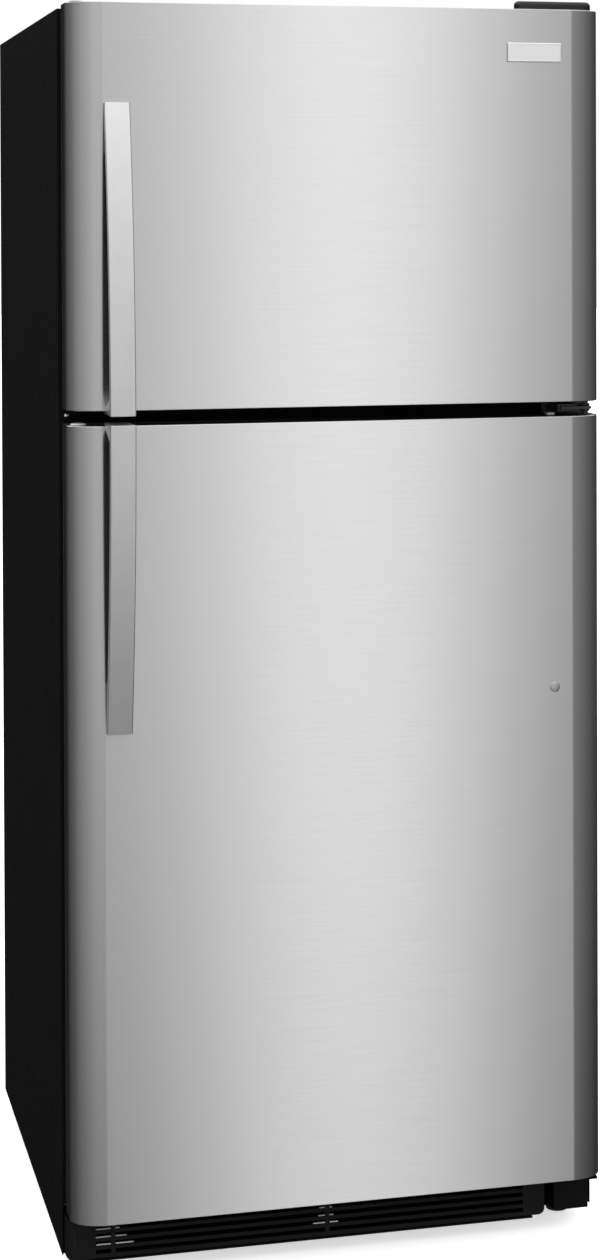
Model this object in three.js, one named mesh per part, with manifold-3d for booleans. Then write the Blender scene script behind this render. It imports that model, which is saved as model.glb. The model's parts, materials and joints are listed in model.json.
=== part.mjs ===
// A top-freezer refrigerator, 20 cubic foot class, with its two doors closed.
// Millimetres. X runs to the right, Y to the back and Z up. The origin is on the floor, under the middle.

import * as THREE from 'three';
import { mergeVertices } from 'three/addons/utils/BufferGeometryUtils.js';
import Module from 'manifold-3d';

const wasm = await Module();
wasm.setup();

// ---------------------------------------------------------------- driving dimensions

const GAP = 0.3;                      // air between two pieces that rest on each other

const CABINET_HALF_WIDTH = 384;
const CABINET_BOTTOM = 22;
const CABINET_TOP = 1741;
const CABINET_FRONT = -292;
const CABINET_BACK = 415;
const REAR_COVER_BACK = 420;
const SHEET = 1.5;                    // painted steel sheet of the cabinet

const DOOR_HALF_WIDTH = 380;
const DOOR_FRONT = -370;
const DOOR_DEPTH = 65;
const DOOR_CORNER = { across: 48, back: 34 };  // half axes of the elliptical upright edges
const SKIN_WRAP = 60;                 // how far back from the front the stainless sheet runs
const SKIN = 1.5;
const FRIDGE_DOOR = { bottom: 87, top: 1172 };
const FREEZER_DOOR = { bottom: 1192, top: 1745 };
const CAP_HEIGHT = 14;                // moulded caps in the ends of a door
const RAIL = 16;                      // width of the black frame behind the skin

const PIN = { x: 363, y: -337, radius: 4, reach: 12 };
const PIN_CLEARANCE = 0.6;

const CAVITY_HALF_WIDTH = 334;
const LINER_WALL = 2.5;
const FREEZER_CAVITY = { bottom: 1214, top: 1686, back: 327 };
const FRIDGE_CAVITY = { bottom: 130, top: 1150, back: 345 };
const FOAM_BOTTOM = 92;
const HUMP = { front: 165, top: 325 };        // inside face of the liner over the machine compartment
const MACHINE = { front: 203, top: 287 };     // the space for the compressor, below the foam

const GASKET = { inset: 12, width: 13.7, depth: 12.4 };
const DIKE = { half: 319, width: 22, depth: 59 };
const BIN = { halfWidth: 295, depth: 110, wall: 3 };

const HANDLE = { left: -331.5, width: 35, length: 416, thickness: 8, standOff: 50, endStandOff: 8 };
const HANDLE_FOOT = { height: 22, toe: 5, tab: 4, tabReach: 16 };

const SHELF_FRONT = -170;
const RUNNER = { reach: 8, height: 6 };       // moulded ribs that carry the shelves
const UPPER_SHELF = 900;
const MIDDLE_SHELF = 640;
const CRISPER_COVER = 345;
const FREEZER_SHELF = 1440;

const CRISPER = { inner: 4, outer: 312, bottom: FRIDGE_CAVITY.bottom + GAP, top: 318, front: -170, back: 155, wall: 3 };
const EVAPORATOR_COVER = 255;

const FAN = { z: 1600, radius: 46 };
const CONDENSER_FAN = { x: -8, y: 305, z: 130, radius: 62 };

const ROUND = 24;                     // sides of small turned pieces

// ---------------------------------------------------------------- materials

function material(color, roughness, metalness) {
  return new THREE.MeshStandardMaterial({ color, roughness, metalness });
}

const brushedSteel = material(0xb9bab9, 0.34, 1);
const satinHandle = material(0xbfc0bf, 0.3, 1);
const blackPaint = material(0x17181a, 0.5, 0.1);
const blackPlastic = material(0x101112, 0.45, 0);
const glossBlack = material(0x0c0c0d, 0.2, 0);
const galvanised = material(0xa9acae, 0.45, 1);
const whiteLiner = material(0xeceeee, 0.35, 0);
const clearPlastic = material(0xdfe9ec, 0.15, 0);
const foamYellow = material(0xe2cf98, 0.95, 0);
const gasketGrey = material(0x2b2c2e, 0.7, 0);
const aluminium = material(0xc4c6c7, 0.35, 1);
const copper = material(0xb4693f, 0.35, 1);
const greyPlastic = material(0x8d9092, 0.5, 0);
const badgeGrey = material(0xdcdcda, 0.35, 0.2);
const bulbGlass = material(0xf6f3e6, 0.1, 0);

// ---------------------------------------------------------------- solids

function toSolid(geometry) {
  const bare = geometry.clone();
  bare.deleteAttribute('normal');
  bare.deleteAttribute('uv');
  const merged = mergeVertices(bare, 1e-3);
  const mesh = new wasm.Mesh({
    numProp: 3,
    vertProperties: merged.attributes.position.array,
    triVerts: Uint32Array.from(merged.index.array),
  });
  return new wasm.Manifold(mesh);
}

function toGeometry(solid) {
  const mesh = solid.getMesh();
  const geometry = new THREE.BufferGeometry();
  geometry.setAttribute('position', new THREE.BufferAttribute(mesh.vertProperties, 3));
  geometry.setIndex(new THREE.BufferAttribute(mesh.triVerts, 1));
  geometry.computeVertexNormals();
  return geometry;
}

function join(...geometries) {
  return toGeometry(geometries.map(toSolid).reduce((whole, next) => whole.add(next)));
}

function cut(geometry, ...tools) {
  return toGeometry(tools.map(toSolid).reduce((whole, tool) => whole.subtract(tool), toSolid(geometry)));
}

function box(x, y, z) {
  const geometry = new THREE.BoxGeometry(x[1] - x[0], y[1] - y[0], z[1] - z[0]);
  return geometry.translate((x[0] + x[1]) / 2, (y[0] + y[1]) / 2, (z[0] + z[1]) / 2);
}

function wide(half) {
  return [-half, half];
}

// An upright prism: the outline lies in X and Y.
function prism(outline, z, curveSegments = 4) {
  const geometry = new THREE.ExtrudeGeometry(outline, { depth: z[1] - z[0], bevelEnabled: false, curveSegments });
  return geometry.translate(0, 0, z[0]);
}

// A prism that runs along Y: the outline lies in X and Z.
function prismAlongY(outline, y, curveSegments = 4) {
  const geometry = new THREE.ExtrudeGeometry(outline, { depth: y[1] - y[0], bevelEnabled: false, curveSegments });
  return geometry.rotateX(Math.PI / 2).translate(0, y[1], 0);
}

// A prism that runs along X: the outline lies in Y and Z.
function prismAlongX(outline, x, curveSegments = 4) {
  const geometry = new THREE.ExtrudeGeometry(outline, { depth: x[1] - x[0], bevelEnabled: false, curveSegments });
  return geometry.rotateX(Math.PI / 2).rotateZ(Math.PI / 2).translate(x[0], 0, 0);
}

function cylinder(axis, radius, centre, length, sides = ROUND) {
  const geometry = new THREE.CylinderGeometry(radius, radius, length, sides);
  if (axis === 'z') geometry.rotateX(Math.PI / 2);
  if (axis === 'x') geometry.rotateZ(Math.PI / 2);
  return geometry.translate(...centre);
}

// A turned piece about Z: pairs of radius and height, from axis to axis.
function turned(profile, sides = ROUND) {
  const points = profile.map(([radius, height]) => new THREE.Vector2(radius, height));
  return new THREE.LatheGeometry(points, sides).rotateX(Math.PI / 2);
}

function tube(points, radius, steps, sides = 6) {
  const section = new THREE.Shape();
  for (let i = 0; i < sides; i += 1) {
    const angle = (2 * Math.PI * i) / sides;
    const move = i === 0 ? 'moveTo' : 'lineTo';
    section[move](radius * Math.cos(angle), radius * Math.sin(angle));
  }
  section.closePath();
  const path = new THREE.CatmullRomCurve3(points, false, 'centripetal');
  return new THREE.ExtrudeGeometry(section, { steps, extrudePath: path, bevelEnabled: false });
}

function polygon(points) {
  return new THREE.Shape(points.map(([u, v]) => new THREE.Vector2(u, v)));
}

function roundedRectangle(u, v, radius) {
  const shape = new THREE.Shape();
  shape.absarc(u[0] + radius, v[0] + radius, radius, Math.PI, 1.5 * Math.PI);
  shape.absarc(u[1] - radius, v[0] + radius, radius, 1.5 * Math.PI, 2 * Math.PI);
  shape.absarc(u[1] - radius, v[1] - radius, radius, 0, 0.5 * Math.PI);
  shape.absarc(u[0] + radius, v[1] - radius, radius, 0.5 * Math.PI, Math.PI);
  shape.closePath();
  return shape;
}

// A box with no lid on the side named: 'z' opens upwards, 'y' opens to the front.
function tray(x, y, z, wall, open = 'z') {
  const inner = {
    z: [[x[0] + wall, x[1] - wall], [y[0] + wall, y[1] - wall], [z[0] + wall, z[1] + wall]],
    y: [[x[0] + wall, x[1] - wall], [y[0] - wall, y[1] - wall], [z[0] + wall, z[1] - wall]],
  }[open];
  return cut(box(x, y, z), box(...inner));
}

// A flat ring that faces the front.
function frame(half, z, y, width) {
  const hole = box(wide(half - width), [y[0] - 1, y[1] + 1], [z[0] + width, z[1] - width]);
  return cut(box(wide(half), y, z), hole);
}

function put(parent, name, geometry, finish, position = [0, 0, 0]) {
  const mesh = new THREE.Mesh(geometry, finish);
  mesh.name = name;
  mesh.position.set(...position);
  parent.add(mesh);
}

// ---------------------------------------------------------------- a door, from its own front face and bottom

const pinInDoor = { x: PIN.x, y: PIN.y - DOOR_FRONT };

// The front of a door's plan, set in from its outside. It runs from one side to the other.
function addDoorFront(outline, inset, reversed = false) {
  const { across, back } = DOOR_CORNER;
  const middle = DOOR_HALF_WIDTH - across;
  const corners = [[-middle, Math.PI, 1.5 * Math.PI], [middle, 1.5 * Math.PI, 2 * Math.PI]];
  const order = reversed ? corners.reverse() : corners;
  for (const [x, start, end] of order) {
    const [from, to] = reversed ? [end, start] : [start, end];
    outline.absellipse(x, back, across - inset, back - inset, from, to, reversed);
  }
}

// The plan of a door's filling: the inside of the stainless sheet.
function fillingOutline() {
  const outline = new THREE.Shape();
  const half = DOOR_HALF_WIDTH - SKIN - GAP;
  outline.moveTo(-half, SKIN_WRAP);
  addDoorFront(outline, SKIN + GAP);
  outline.lineTo(half, SKIN_WRAP);
  outline.closePath();
  return outline;
}

function doorSkin(height) {
  const outline = new THREE.Shape();
  outline.moveTo(-DOOR_HALF_WIDTH, SKIN_WRAP);
  addDoorFront(outline, 0);
  outline.lineTo(DOOR_HALF_WIDTH, SKIN_WRAP);
  outline.lineTo(DOOR_HALF_WIDTH - SKIN, SKIN_WRAP);
  addDoorFront(outline, SKIN, true);
  outline.lineTo(SKIN - DOOR_HALF_WIDTH, SKIN_WRAP);
  outline.closePath();
  return prism(outline, [0, height], 6);
}

function doorFrame(height) {
  return frame(DOOR_HALF_WIDTH, [0, height], [SKIN_WRAP + GAP, DOOR_DEPTH], RAIL);
}

function doorCap() {
  const hole = cylinder('z', PIN.radius + PIN_CLEARANCE, [pinInDoor.x, pinInDoor.y, CAP_HEIGHT / 2], 2 * CAP_HEIGHT);
  return cut(prism(fillingOutline(), [0, CAP_HEIGHT], 6), hole);
}

function doorFoam(height) {
  const front = prism(fillingOutline(), [CAP_HEIGHT + GAP, height - CAP_HEIGHT - GAP], 6);
  const edge = RAIL + GAP;
  const rear = box(wide(DOOR_HALF_WIDTH - edge), [SKIN_WRAP - 1, DOOR_DEPTH - GAP], [edge, height - edge]);
  const overCaps = [[0, CAP_HEIGHT + GAP], [height - CAP_HEIGHT - GAP, height]].map(
    (z) => box(wide(DOOR_HALF_WIDTH), [SKIN_WRAP - 2, SKIN_WRAP + GAP], z),
  );
  return cut(join(front, rear), ...overCaps);
}

function doorLiner(height, dike) {
  const edge = GASKET.inset + GASKET.width + GAP;
  const sheet = box(wide(DOOR_HALF_WIDTH - edge), [DOOR_DEPTH + GAP, DOOR_DEPTH + 3], [edge, height - edge]);
  const ring = frame(DIKE.half, dike, [DOOR_DEPTH + 2, DOOR_DEPTH + 3 + DIKE.depth], DIKE.width);
  return join(sheet, ring);
}

function doorGasket(height) {
  const y = [DOOR_DEPTH + GAP, DOOR_DEPTH + GAP + GASKET.depth];
  return frame(DOOR_HALF_WIDTH - GASKET.inset, [GASKET.inset, height - GASKET.inset], y, GASKET.width);
}

// How far the handle's face stands off the door, from the free end (0) to the end by the parting line (1).
function handleStandOff(t) {
  const rise = HANDLE.standOff - HANDLE.endStandOff;
  return HANDLE.endStandOff + rise * (1 - (1 - t) ** 2);
}

// The handle's side view: Y to the back from the door's face, Z up from the door's edge at the parting line.
function handleOutline() {
  const steps = 14;
  const points = [[-HANDLE.standOff, -HANDLE_FOOT.tab]];
  for (let i = steps; i >= 0; i -= 1) {
    points.push([-handleStandOff(i / steps), HANDLE.length * (1 - i / steps)]);
  }
  points.push([-HANDLE.endStandOff / 2, HANDLE.length + 4]);
  points.push([-GAP, HANDLE.length + 4]);
  const footStart = 1 - HANDLE_FOOT.height / HANDLE.length;
  for (let i = 1; i <= steps; i += 1) {
    const t = (footStart * i) / steps;
    points.push([-(handleStandOff(t) - HANDLE.thickness + GAP), HANDLE.length * (1 - t)]);
  }
  points.push([-GAP, HANDLE_FOOT.toe]);
  points.push([-GAP, -GAP]);
  points.push([HANDLE_FOOT.tabReach, -GAP]);
  points.push([HANDLE_FOOT.tabReach, -HANDLE_FOOT.tab]);
  return points;
}

// The fridge handle hangs from the parting line and the freezer handle stands on it.
function handle(direction) {
  const outline = polygon(handleOutline().map(([y, z]) => [y, direction * z]));
  return prismAlongX(outline, [HANDLE.left, HANDLE.left + HANDLE.width]);
}

function bin(height) {
  const y = [DOOR_DEPTH + 3 + GAP, DOOR_DEPTH + 3 + GAP + BIN.depth];
  return tray(wide(BIN.halfWidth), y, [0, height], BIN.wall);
}

function makeDoor(name, span, dike) {
  const door = new THREE.Group();
  const height = span.top - span.bottom;
  door.position.set(0, DOOR_FRONT, span.bottom);
  put(door, `${name}_door_skin`, doorSkin(height), brushedSteel);
  put(door, `${name}_door_frame`, doorFrame(height), blackPaint);
  put(door, `${name}_door_top_cap`, doorCap(), blackPlastic, [0, 0, height - CAP_HEIGHT]);
  put(door, `${name}_door_bottom_cap`, doorCap(), blackPlastic);
  put(door, `${name}_door_foam`, doorFoam(height), foamYellow);
  put(door, `${name}_door_liner`, doorLiner(height, dike), whiteLiner);
  put(door, `${name}_door_gasket`, doorGasket(height), gasketGrey);
  return door;
}

const BADGE = { x: [238, 317], z: [1670.6, 1697.4], depth: 3.5, radius: 3 };

function badge() {
  const z = BADGE.z.map((height) => height - FREEZER_DOOR.bottom);
  return prismAlongY(roundedRectangle(BADGE.x, z, BADGE.radius), [-GAP - BADGE.depth, -GAP], 2);
}

function freezerDoor() {
  const door = makeDoor('freezer', FREEZER_DOOR, [45, 475]);
  put(door, 'freezer_handle', handle(1), satinHandle);
  put(door, 'badge', badge(), badgeGrey);
  put(door, 'freezer_lower_bin', bin(80), clearPlastic, [0, 0, 68]);
  put(door, 'freezer_upper_bin', bin(80), clearPlastic, [0, 0, 270]);
  return door;
}

// The lid of the dairy compartment hangs from its top edge, on the side that faces the shelves.
const DAIRY = { bottom: 838, height: 70, flapTop: 1000, flapHeight: 86, flapY: 165, flapThickness: 3 };

function dairyFlap() {
  const half = BIN.halfWidth - 20;
  const y = [DAIRY.flapY, DAIRY.flapY + DAIRY.flapThickness];
  const panel = box(wide(half), y, [DAIRY.flapTop - DAIRY.flapHeight, DAIRY.flapTop]);
  const rod = cylinder('x', 3.5, [0, DAIRY.flapY + DAIRY.flapThickness / 2, DAIRY.flapTop], 2 * half + 16, 16);
  return join(panel, rod);
}

// The dairy bin is a tray with two cheeks that hold the lid's rod.
function dairyBin() {
  const bottomTray = bin(DAIRY.height);
  const y = [DOOR_DEPTH + 3 + GAP, DAIRY.flapY + 8];
  const cheekHeight = DAIRY.flapTop - DAIRY.bottom + 10;
  const rodHole = cylinder(
    'x', 4.2, [0, DAIRY.flapY + DAIRY.flapThickness / 2, DAIRY.flapTop - DAIRY.bottom], 2 * BIN.halfWidth + 20, 16,
  );
  const cheeks = [
    [-BIN.halfWidth, -BIN.halfWidth + 14],
    [BIN.halfWidth - 14, BIN.halfWidth],
  ].map((x) => box(x, y, [BIN.wall, cheekHeight]));
  const lid = box(wide(BIN.halfWidth), [y[0], DAIRY.flapY - 8], [cheekHeight - 3, cheekHeight]);
  return cut(join(bottomTray, ...cheeks, lid), rodHole);
}

function fridgeDoor() {
  const height = FRIDGE_DOOR.top - FRIDGE_DOOR.bottom;
  const door = makeDoor('fridge', FRIDGE_DOOR, [70, 1040]);
  put(door, 'fridge_handle', handle(-1), satinHandle, [0, 0, height]);
  put(door, 'fridge_lower_bin', bin(100), clearPlastic, [0, 0, 96]);
  put(door, 'fridge_middle_bin', bin(90), clearPlastic, [0, 0, 440]);
  put(door, 'dairy_bin', dairyBin(), clearPlastic, [0, 0, DAIRY.bottom]);
  put(door, 'dairy_flap', dairyFlap(), clearPlastic);
  return door;
}

// ---------------------------------------------------------------- cabinet

const FLANGE = CABINET_HALF_WIDTH - CAVITY_HALF_WIDTH - LINER_WALL - GAP;   // painted front edge

function cabinetWrapper() {
  const outer = box(wide(CABINET_HALF_WIDTH), [CABINET_FRONT, CABINET_BACK], [CABINET_BOTTOM, CABINET_TOP]);
  const half = CABINET_HALF_WIDTH - SHEET;
  const behind = box(wide(half), [CABINET_FRONT + SHEET, CABINET_BACK + 1], [CABINET_BOTTOM - 1, CABINET_TOP - SHEET]);
  const window = box(
    wide(CABINET_HALF_WIDTH - FLANGE), [CABINET_FRONT - 1, CABINET_FRONT + 3],
    [FRIDGE_CAVITY.bottom - LINER_WALL - GAP, FREEZER_CAVITY.top + LINER_WALL + GAP],
  );
  const toeSpace = box(wide(half), [CABINET_FRONT - 1, CABINET_FRONT + 3], [CABINET_BOTTOM - 1, FOAM_BOTTOM]);
  return cut(outer, behind, window, toeSpace);
}

const MULLION = {
  z: [FRIDGE_CAVITY.top + LINER_WALL + GAP, FREEZER_CAVITY.bottom - LINER_WALL - GAP],
  y: [CABINET_FRONT, CABINET_FRONT + 7],
};
const PLUNGER = { x: 0, z: 1166, radius: 3.5, front: DOOR_FRONT + DOOR_DEPTH + GAP, back: -268 };

function mullionRail() {
  const rail = box(wide(CABINET_HALF_WIDTH - FLANGE - GAP), MULLION.y, MULLION.z);
  return cut(rail, cylinder('y', PLUNGER.radius + 0.8, [PLUNGER.x, MULLION.y[0], PLUNGER.z], 40));
}

function lightSwitchPlunger() {
  const y = (PLUNGER.front + PLUNGER.back) / 2;
  return cylinder('y', PLUNGER.radius, [PLUNGER.x, y, PLUNGER.z], PLUNGER.back - PLUNGER.front, 16);
}

const linerFront = CABINET_FRONT + SHEET + GAP;

// A liner's outside, as cut from the foam with a little air.
function freezerLinerBlock(air) {
  const grow = LINER_WALL + air;
  return box(
    wide(CAVITY_HALF_WIDTH + grow), [linerFront - air, FREEZER_CAVITY.back + grow],
    [FREEZER_CAVITY.bottom - grow, FREEZER_CAVITY.top + grow],
  );
}

function fridgeLinerBlock(air) {
  const grow = LINER_WALL + air;
  const block = box(
    wide(CAVITY_HALF_WIDTH + grow), [linerFront - air, FRIDGE_CAVITY.back + grow],
    [FRIDGE_CAVITY.bottom - grow, FRIDGE_CAVITY.top + grow],
  );
  const hump = box(
    wide(CAVITY_HALF_WIDTH + 20), [HUMP.front + grow, FRIDGE_CAVITY.back + 20],
    [FRIDGE_CAVITY.bottom - 20, HUMP.top - grow],
  );
  return cut(block, hump);
}

function foamInsulation() {
  const half = CABINET_HALF_WIDTH - SHEET - GAP;
  const block = box(wide(half), [linerFront, CABINET_BACK - 3], [FOAM_BOTTOM + GAP, CABINET_TOP - SHEET - GAP]);
  const machineSpace = box(
    wide(half + 1), [MACHINE.front, CABINET_BACK + 1], [FOAM_BOTTOM - 1, MACHINE.top],
  );
  const mullionSpace = box(
    wide(CABINET_HALF_WIDTH - FLANGE), [linerFront - 1, MULLION.y[1] + GAP],
    [MULLION.z[0] - GAP, MULLION.z[1] + GAP],
  );
  const plungerSpace = cylinder('y', PLUNGER.radius + 0.8, [PLUNGER.x, MULLION.y[0], PLUNGER.z], 60);
  return cut(block, freezerLinerBlock(GAP), fridgeLinerBlock(GAP), machineSpace, mullionSpace, plungerSpace);
}

function runners(heights, back) {
  const ribs = [];
  for (const height of heights) {
    for (const side of [-1, 1]) {
      const x = [side * (CAVITY_HALF_WIDTH - RUNNER.reach), side * (CAVITY_HALF_WIDTH + 1)].sort((a, b) => a - b);
      ribs.push(box(x, [SHELF_FRONT, back], [height - RUNNER.height - GAP, height - GAP]));
    }
  }
  return ribs;
}

function freezerLiner() {
  const cavity = box(
    wide(CAVITY_HALF_WIDTH), [linerFront - 1, FREEZER_CAVITY.back], [FREEZER_CAVITY.bottom, FREEZER_CAVITY.top],
  );
  return join(cut(freezerLinerBlock(0), cavity), ...runners([FREEZER_SHELF], EVAPORATOR_COVER - GAP));
}

function fridgeLiner() {
  const cavity = box(
    wide(CAVITY_HALF_WIDTH), [linerFront - 1, FRIDGE_CAVITY.back], [FRIDGE_CAVITY.bottom, FRIDGE_CAVITY.top],
  );
  const hump = box(
    wide(CAVITY_HALF_WIDTH + 20), [HUMP.front, FRIDGE_CAVITY.back + 20], [FRIDGE_CAVITY.bottom - 20, HUMP.top],
  );
  const hollow = cut(cavity, hump);
  const shell = cut(fridgeLinerBlock(0), hollow);
  return join(shell, ...runners([UPPER_SHELF, MIDDLE_SHELF, CRISPER_COVER], FRIDGE_CAVITY.back));
}

function rearPanel() {
  const panel = box(
    wide(CABINET_HALF_WIDTH - SHEET - GAP), [CABINET_BACK - 2.5, CABINET_BACK],
    [MACHINE.top + GAP, CABINET_TOP - SHEET - GAP],
  );
  const ribs = [-200, 0, 200].map((x) => box([x - 20, x + 20], [CABINET_BACK - 1, CABINET_BACK + 3], [420, 1640]));
  return join(panel, ...ribs);
}

// ---------------------------------------------------------------- base

const ROLLER = { x: 335, y: 330, radius: 19, width: 18, axle: 4 };
const LEG = { x: 350, y: -242, stem: 5, foot: 16 };
const PAN = { front: -285, lip: -325, back: 411, sheet: 2.5, wall: 67 };

function basePan() {
  const half = CABINET_HALF_WIDTH - SHEET - GAP;
  const pan = tray(wide(half), [PAN.front, PAN.back], [CABINET_BOTTOM, CABINET_BOTTOM + PAN.wall], PAN.sheet);
  const openFront = box(
    wide(half - PAN.sheet), [PAN.front - 1, PAN.front + PAN.sheet + 1],
    [CABINET_BOTTOM + PAN.sheet, FOAM_BOTTOM + 20],
  );
  const backEdge = box(
    wide(half - PAN.sheet), [PAN.back - PAN.sheet - 1, PAN.back + 1], [CABINET_BOTTOM + 14, FOAM_BOTTOM + 20],
  );
  const openings = [openFront, backEdge];
  const brackets = [];
  for (const side of [-1, 1]) {
    const wheel = wide(ROLLER.width / 2 + 2).map((x) => x + side * ROLLER.x);
    openings.push(box(wheel, [ROLLER.y - 26, ROLLER.y + 26], [0, CABINET_BOTTOM + 10]));
    openings.push(cylinder('z', LEG.stem + 0.6, [side * LEG.x, LEG.y, CABINET_BOTTOM], 20));
    for (const edge of wheel) {
      const x = edge > side * ROLLER.x ? [edge, edge + 3] : [edge - 3, edge];
      brackets.push(box(x, [ROLLER.y - 14, ROLLER.y + 14], [10, CABINET_BOTTOM + PAN.sheet + 14]));
    }
  }
  const axles = cylinder('x', ROLLER.axle + 0.6, [0, ROLLER.y, ROLLER.radius], 2 * CABINET_HALF_WIDTH - 20);
  const fanPost = box(
    [CONDENSER_FAN.x + 16, CONDENSER_FAN.x + 19], [CONDENSER_FAN.y - 12, CONDENSER_FAN.y + 12],
    [CABINET_BOTTOM + 1, CONDENSER_FAN.z + 12],
  );
  const fanMotor = cylinder(
    'x', 20, [CONDENSER_FAN.x + 27, CONDENSER_FAN.y, CONDENSER_FAN.z], 20,
  );
  const lip = box([-370, 286], [PAN.lip, PAN.front + 1], [CABINET_BOTTOM, CABINET_BOTTOM + PAN.sheet]);
  return cut(join(cut(pan, ...openings), lip, ...brackets, fanPost, fanMotor), axles);
}

function rearRoller() {
  const wheel = cylinder('x', ROLLER.radius, [0, 0, 0], ROLLER.width);
  const axle = cylinder('x', ROLLER.axle, [0, 0, 0], ROLLER.width + 12);
  return join(wheel, axle);
}

function levelingLeg() {
  const height = 66;
  return turned([
    [0, 0], [LEG.foot - 2, 0], [LEG.foot, 2], [LEG.foot, 7], [LEG.stem + 3, 10], [LEG.stem + 3, 16], [LEG.stem, 16],
    [LEG.stem, height], [0, height],
  ]);
}

const GRILLE = { left: -384, right: 302, front: -330, z: [28, 82], wall: 4, depth: 46, corner: 9 };
const LOUVRE = { count: 4, pitch: 11, height: 6, first: 34, columns: [[-343, -322], [-316, -20], [-14, 270]] };

function toeGrille() {
  const x = [GRILLE.left, GRILLE.right];
  const outline = new THREE.Shape();
  outline.moveTo(x[0], CABINET_FRONT - GAP);
  outline.absarc(x[0] + 14, GRILLE.front + 14, 14, Math.PI, 1.5 * Math.PI);
  outline.lineTo(x[1], GRILLE.front);
  outline.lineTo(x[1], GRILLE.front + GRILLE.depth - 8);
  outline.lineTo(x[1] - GRILLE.wall, GRILLE.front + GRILLE.depth - 8);
  outline.lineTo(x[1] - GRILLE.wall, GRILLE.front + GRILLE.wall);
  outline.absarc(x[0] + 14, GRILLE.front + 14, 14 - GRILLE.wall, 1.5 * Math.PI, Math.PI, true);
  outline.lineTo(x[0] + GRILLE.wall, CABINET_FRONT - GAP);
  outline.closePath();
  const slots = [];
  for (let row = 0; row < LOUVRE.count; row += 1) {
    const bottom = LOUVRE.first + row * LOUVRE.pitch;
    for (const column of LOUVRE.columns) {
      slots.push(box(column, [GRILLE.front - 1, GRILLE.front + GRILLE.wall + 1], [bottom, bottom + LOUVRE.height]));
    }
  }
  const y = GRILLE.front + GRILLE.depth / 2;
  const corners = [[x[0], 1], [x[1], -1]].map(([end, inward]) => {
    const middle = [end + inward * GRILLE.corner, y, GRILLE.z[0] + GRILLE.corner];
    const across = inward > 0 ? [end - 1, middle[0]] : [middle[0], end + 1];
    return cut(
      box(across, [GRILLE.front - 1, y * 2 - GRILLE.front + 1], [GRILLE.z[0] - 1, middle[2]]),
      cylinder('y', GRILLE.corner, middle, GRILLE.depth + 10, 32),
    );
  });
  return cut(prism(outline, GRILLE.z), ...slots, ...corners);
}

// ---------------------------------------------------------------- hinges

function pin(z) {
  return cylinder('z', PIN.radius, [PIN.x, PIN.y, (z[0] + z[1]) / 2], z[1] - z[0]);
}

const PLATE = 4;

function topHinge() {
  const over = FREEZER_DOOR.top + 0.8;
  const foot = box([310, 368], [-282, -222], [CABINET_TOP + GAP, over + PLATE]);
  const arm = box([345, 365], [PIN.y - 6, -281], [over, over + PLATE]);
  return join(foot, arm, pin([FREEZER_DOOR.top - PIN.reach, over + 1]));
}

// The cover's plan tapers to the back and has round corners, each given with its centre's place.
function coverPlan(radius) {
  const corners = [[267, -339, Math.PI], [362, -339, 1.5 * Math.PI], [362, -226, 0], [304, -226, 0.5 * Math.PI]];
  const plan = new THREE.Shape();
  for (const [x, y, start] of corners) {
    plan.absarc(x, y, radius, start, start + 0.5 * Math.PI);
  }
  plan.closePath();
  return plan;
}

function topHingeCover() {
  const low = CABINET_TOP + GAP;
  const top = CABINET_TOP + 17.5;
  const wall = 1.4;
  const hollow = prism(coverPlan(9 - wall), [low - 1, top - wall], 2);
  const overDoor = box([250, 380], [DOOR_FRONT, CABINET_FRONT - 3], [low - 1, FREEZER_DOOR.top + 1]);
  return cut(prism(coverPlan(9), [low, top], 2), hollow, overDoor);
}

function centerHinge() {
  const middle = (FRIDGE_DOOR.top + FREEZER_DOOR.bottom) / 2;
  const flangeY = [CABINET_FRONT - 4, CABINET_FRONT - GAP];
  const flange = box([312, 378], flangeY, [FRIDGE_DOOR.top - 8, FREEZER_DOOR.bottom + 8]);
  const plate = box([324, 369], [PIN.y - 11, flangeY[1] - 1], [middle - PLATE / 2, middle + PLATE / 2]);
  const block = box([321, 349], [PIN.y - 5, flangeY[1] - 1], [middle - 5, middle + 5]);
  return join(flange, plate, block, pin([FRIDGE_DOOR.top - PIN.reach, FREEZER_DOOR.bottom + PIN.reach]));
}

function lowerHinge() {
  const under = FRIDGE_DOOR.bottom - 5;
  const block = box([318, 369], [-326, CABINET_FRONT - 1], [30, under]);
  const hollow = box([322, 365], [-322, CABINET_FRONT + 1], [29, under - PLATE]);
  const tail = box([318, 369], [CABINET_FRONT - 2, PAN.front - GAP], [CABINET_BOTTOM + 8, under]);
  const plate = box([318, 376], [PIN.y - 11, CABINET_FRONT - 2], [under - PLATE, under]);
  return join(cut(block, hollow), tail, plate, pin([under - 1, FRIDGE_DOOR.bottom + PIN.reach]));
}

// ---------------------------------------------------------------- inside the compartments

function glassShelf(z, back) {
  const half = CAVITY_HALF_WIDTH - 2;
  const rim = 14;
  const pane = box(wide(half - rim + 1), [SHELF_FRONT + rim - 1, back - rim + 1], [z + 3, z + 8]);
  const x = half - rim;
  const edge = cut(
    box(wide(half), [SHELF_FRONT, back], [z, z + 12]),
    box(wide(x), [SHELF_FRONT + rim, back - rim], [z - 1, z + 13]),
  );
  return join(edge, pane);
}

// The front rail of the crisper cover has a slot in each half for its humidity slide.
const SLIDE = { x: 150, y: SHELF_FRONT - 7, z: [CRISPER_COVER - 6, CRISPER_COVER + 6], width: 34, travel: 30 };

function humiditySlide() {
  return join(
    box(wide(SLIDE.width / 2), [SLIDE.y, SHELF_FRONT - GAP], SLIDE.z),
    box(wide(2), [SLIDE.y - 4, SLIDE.y + 1], [SLIDE.z[0] + 2, SLIDE.z[1] - 2]),
  );
}

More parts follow.
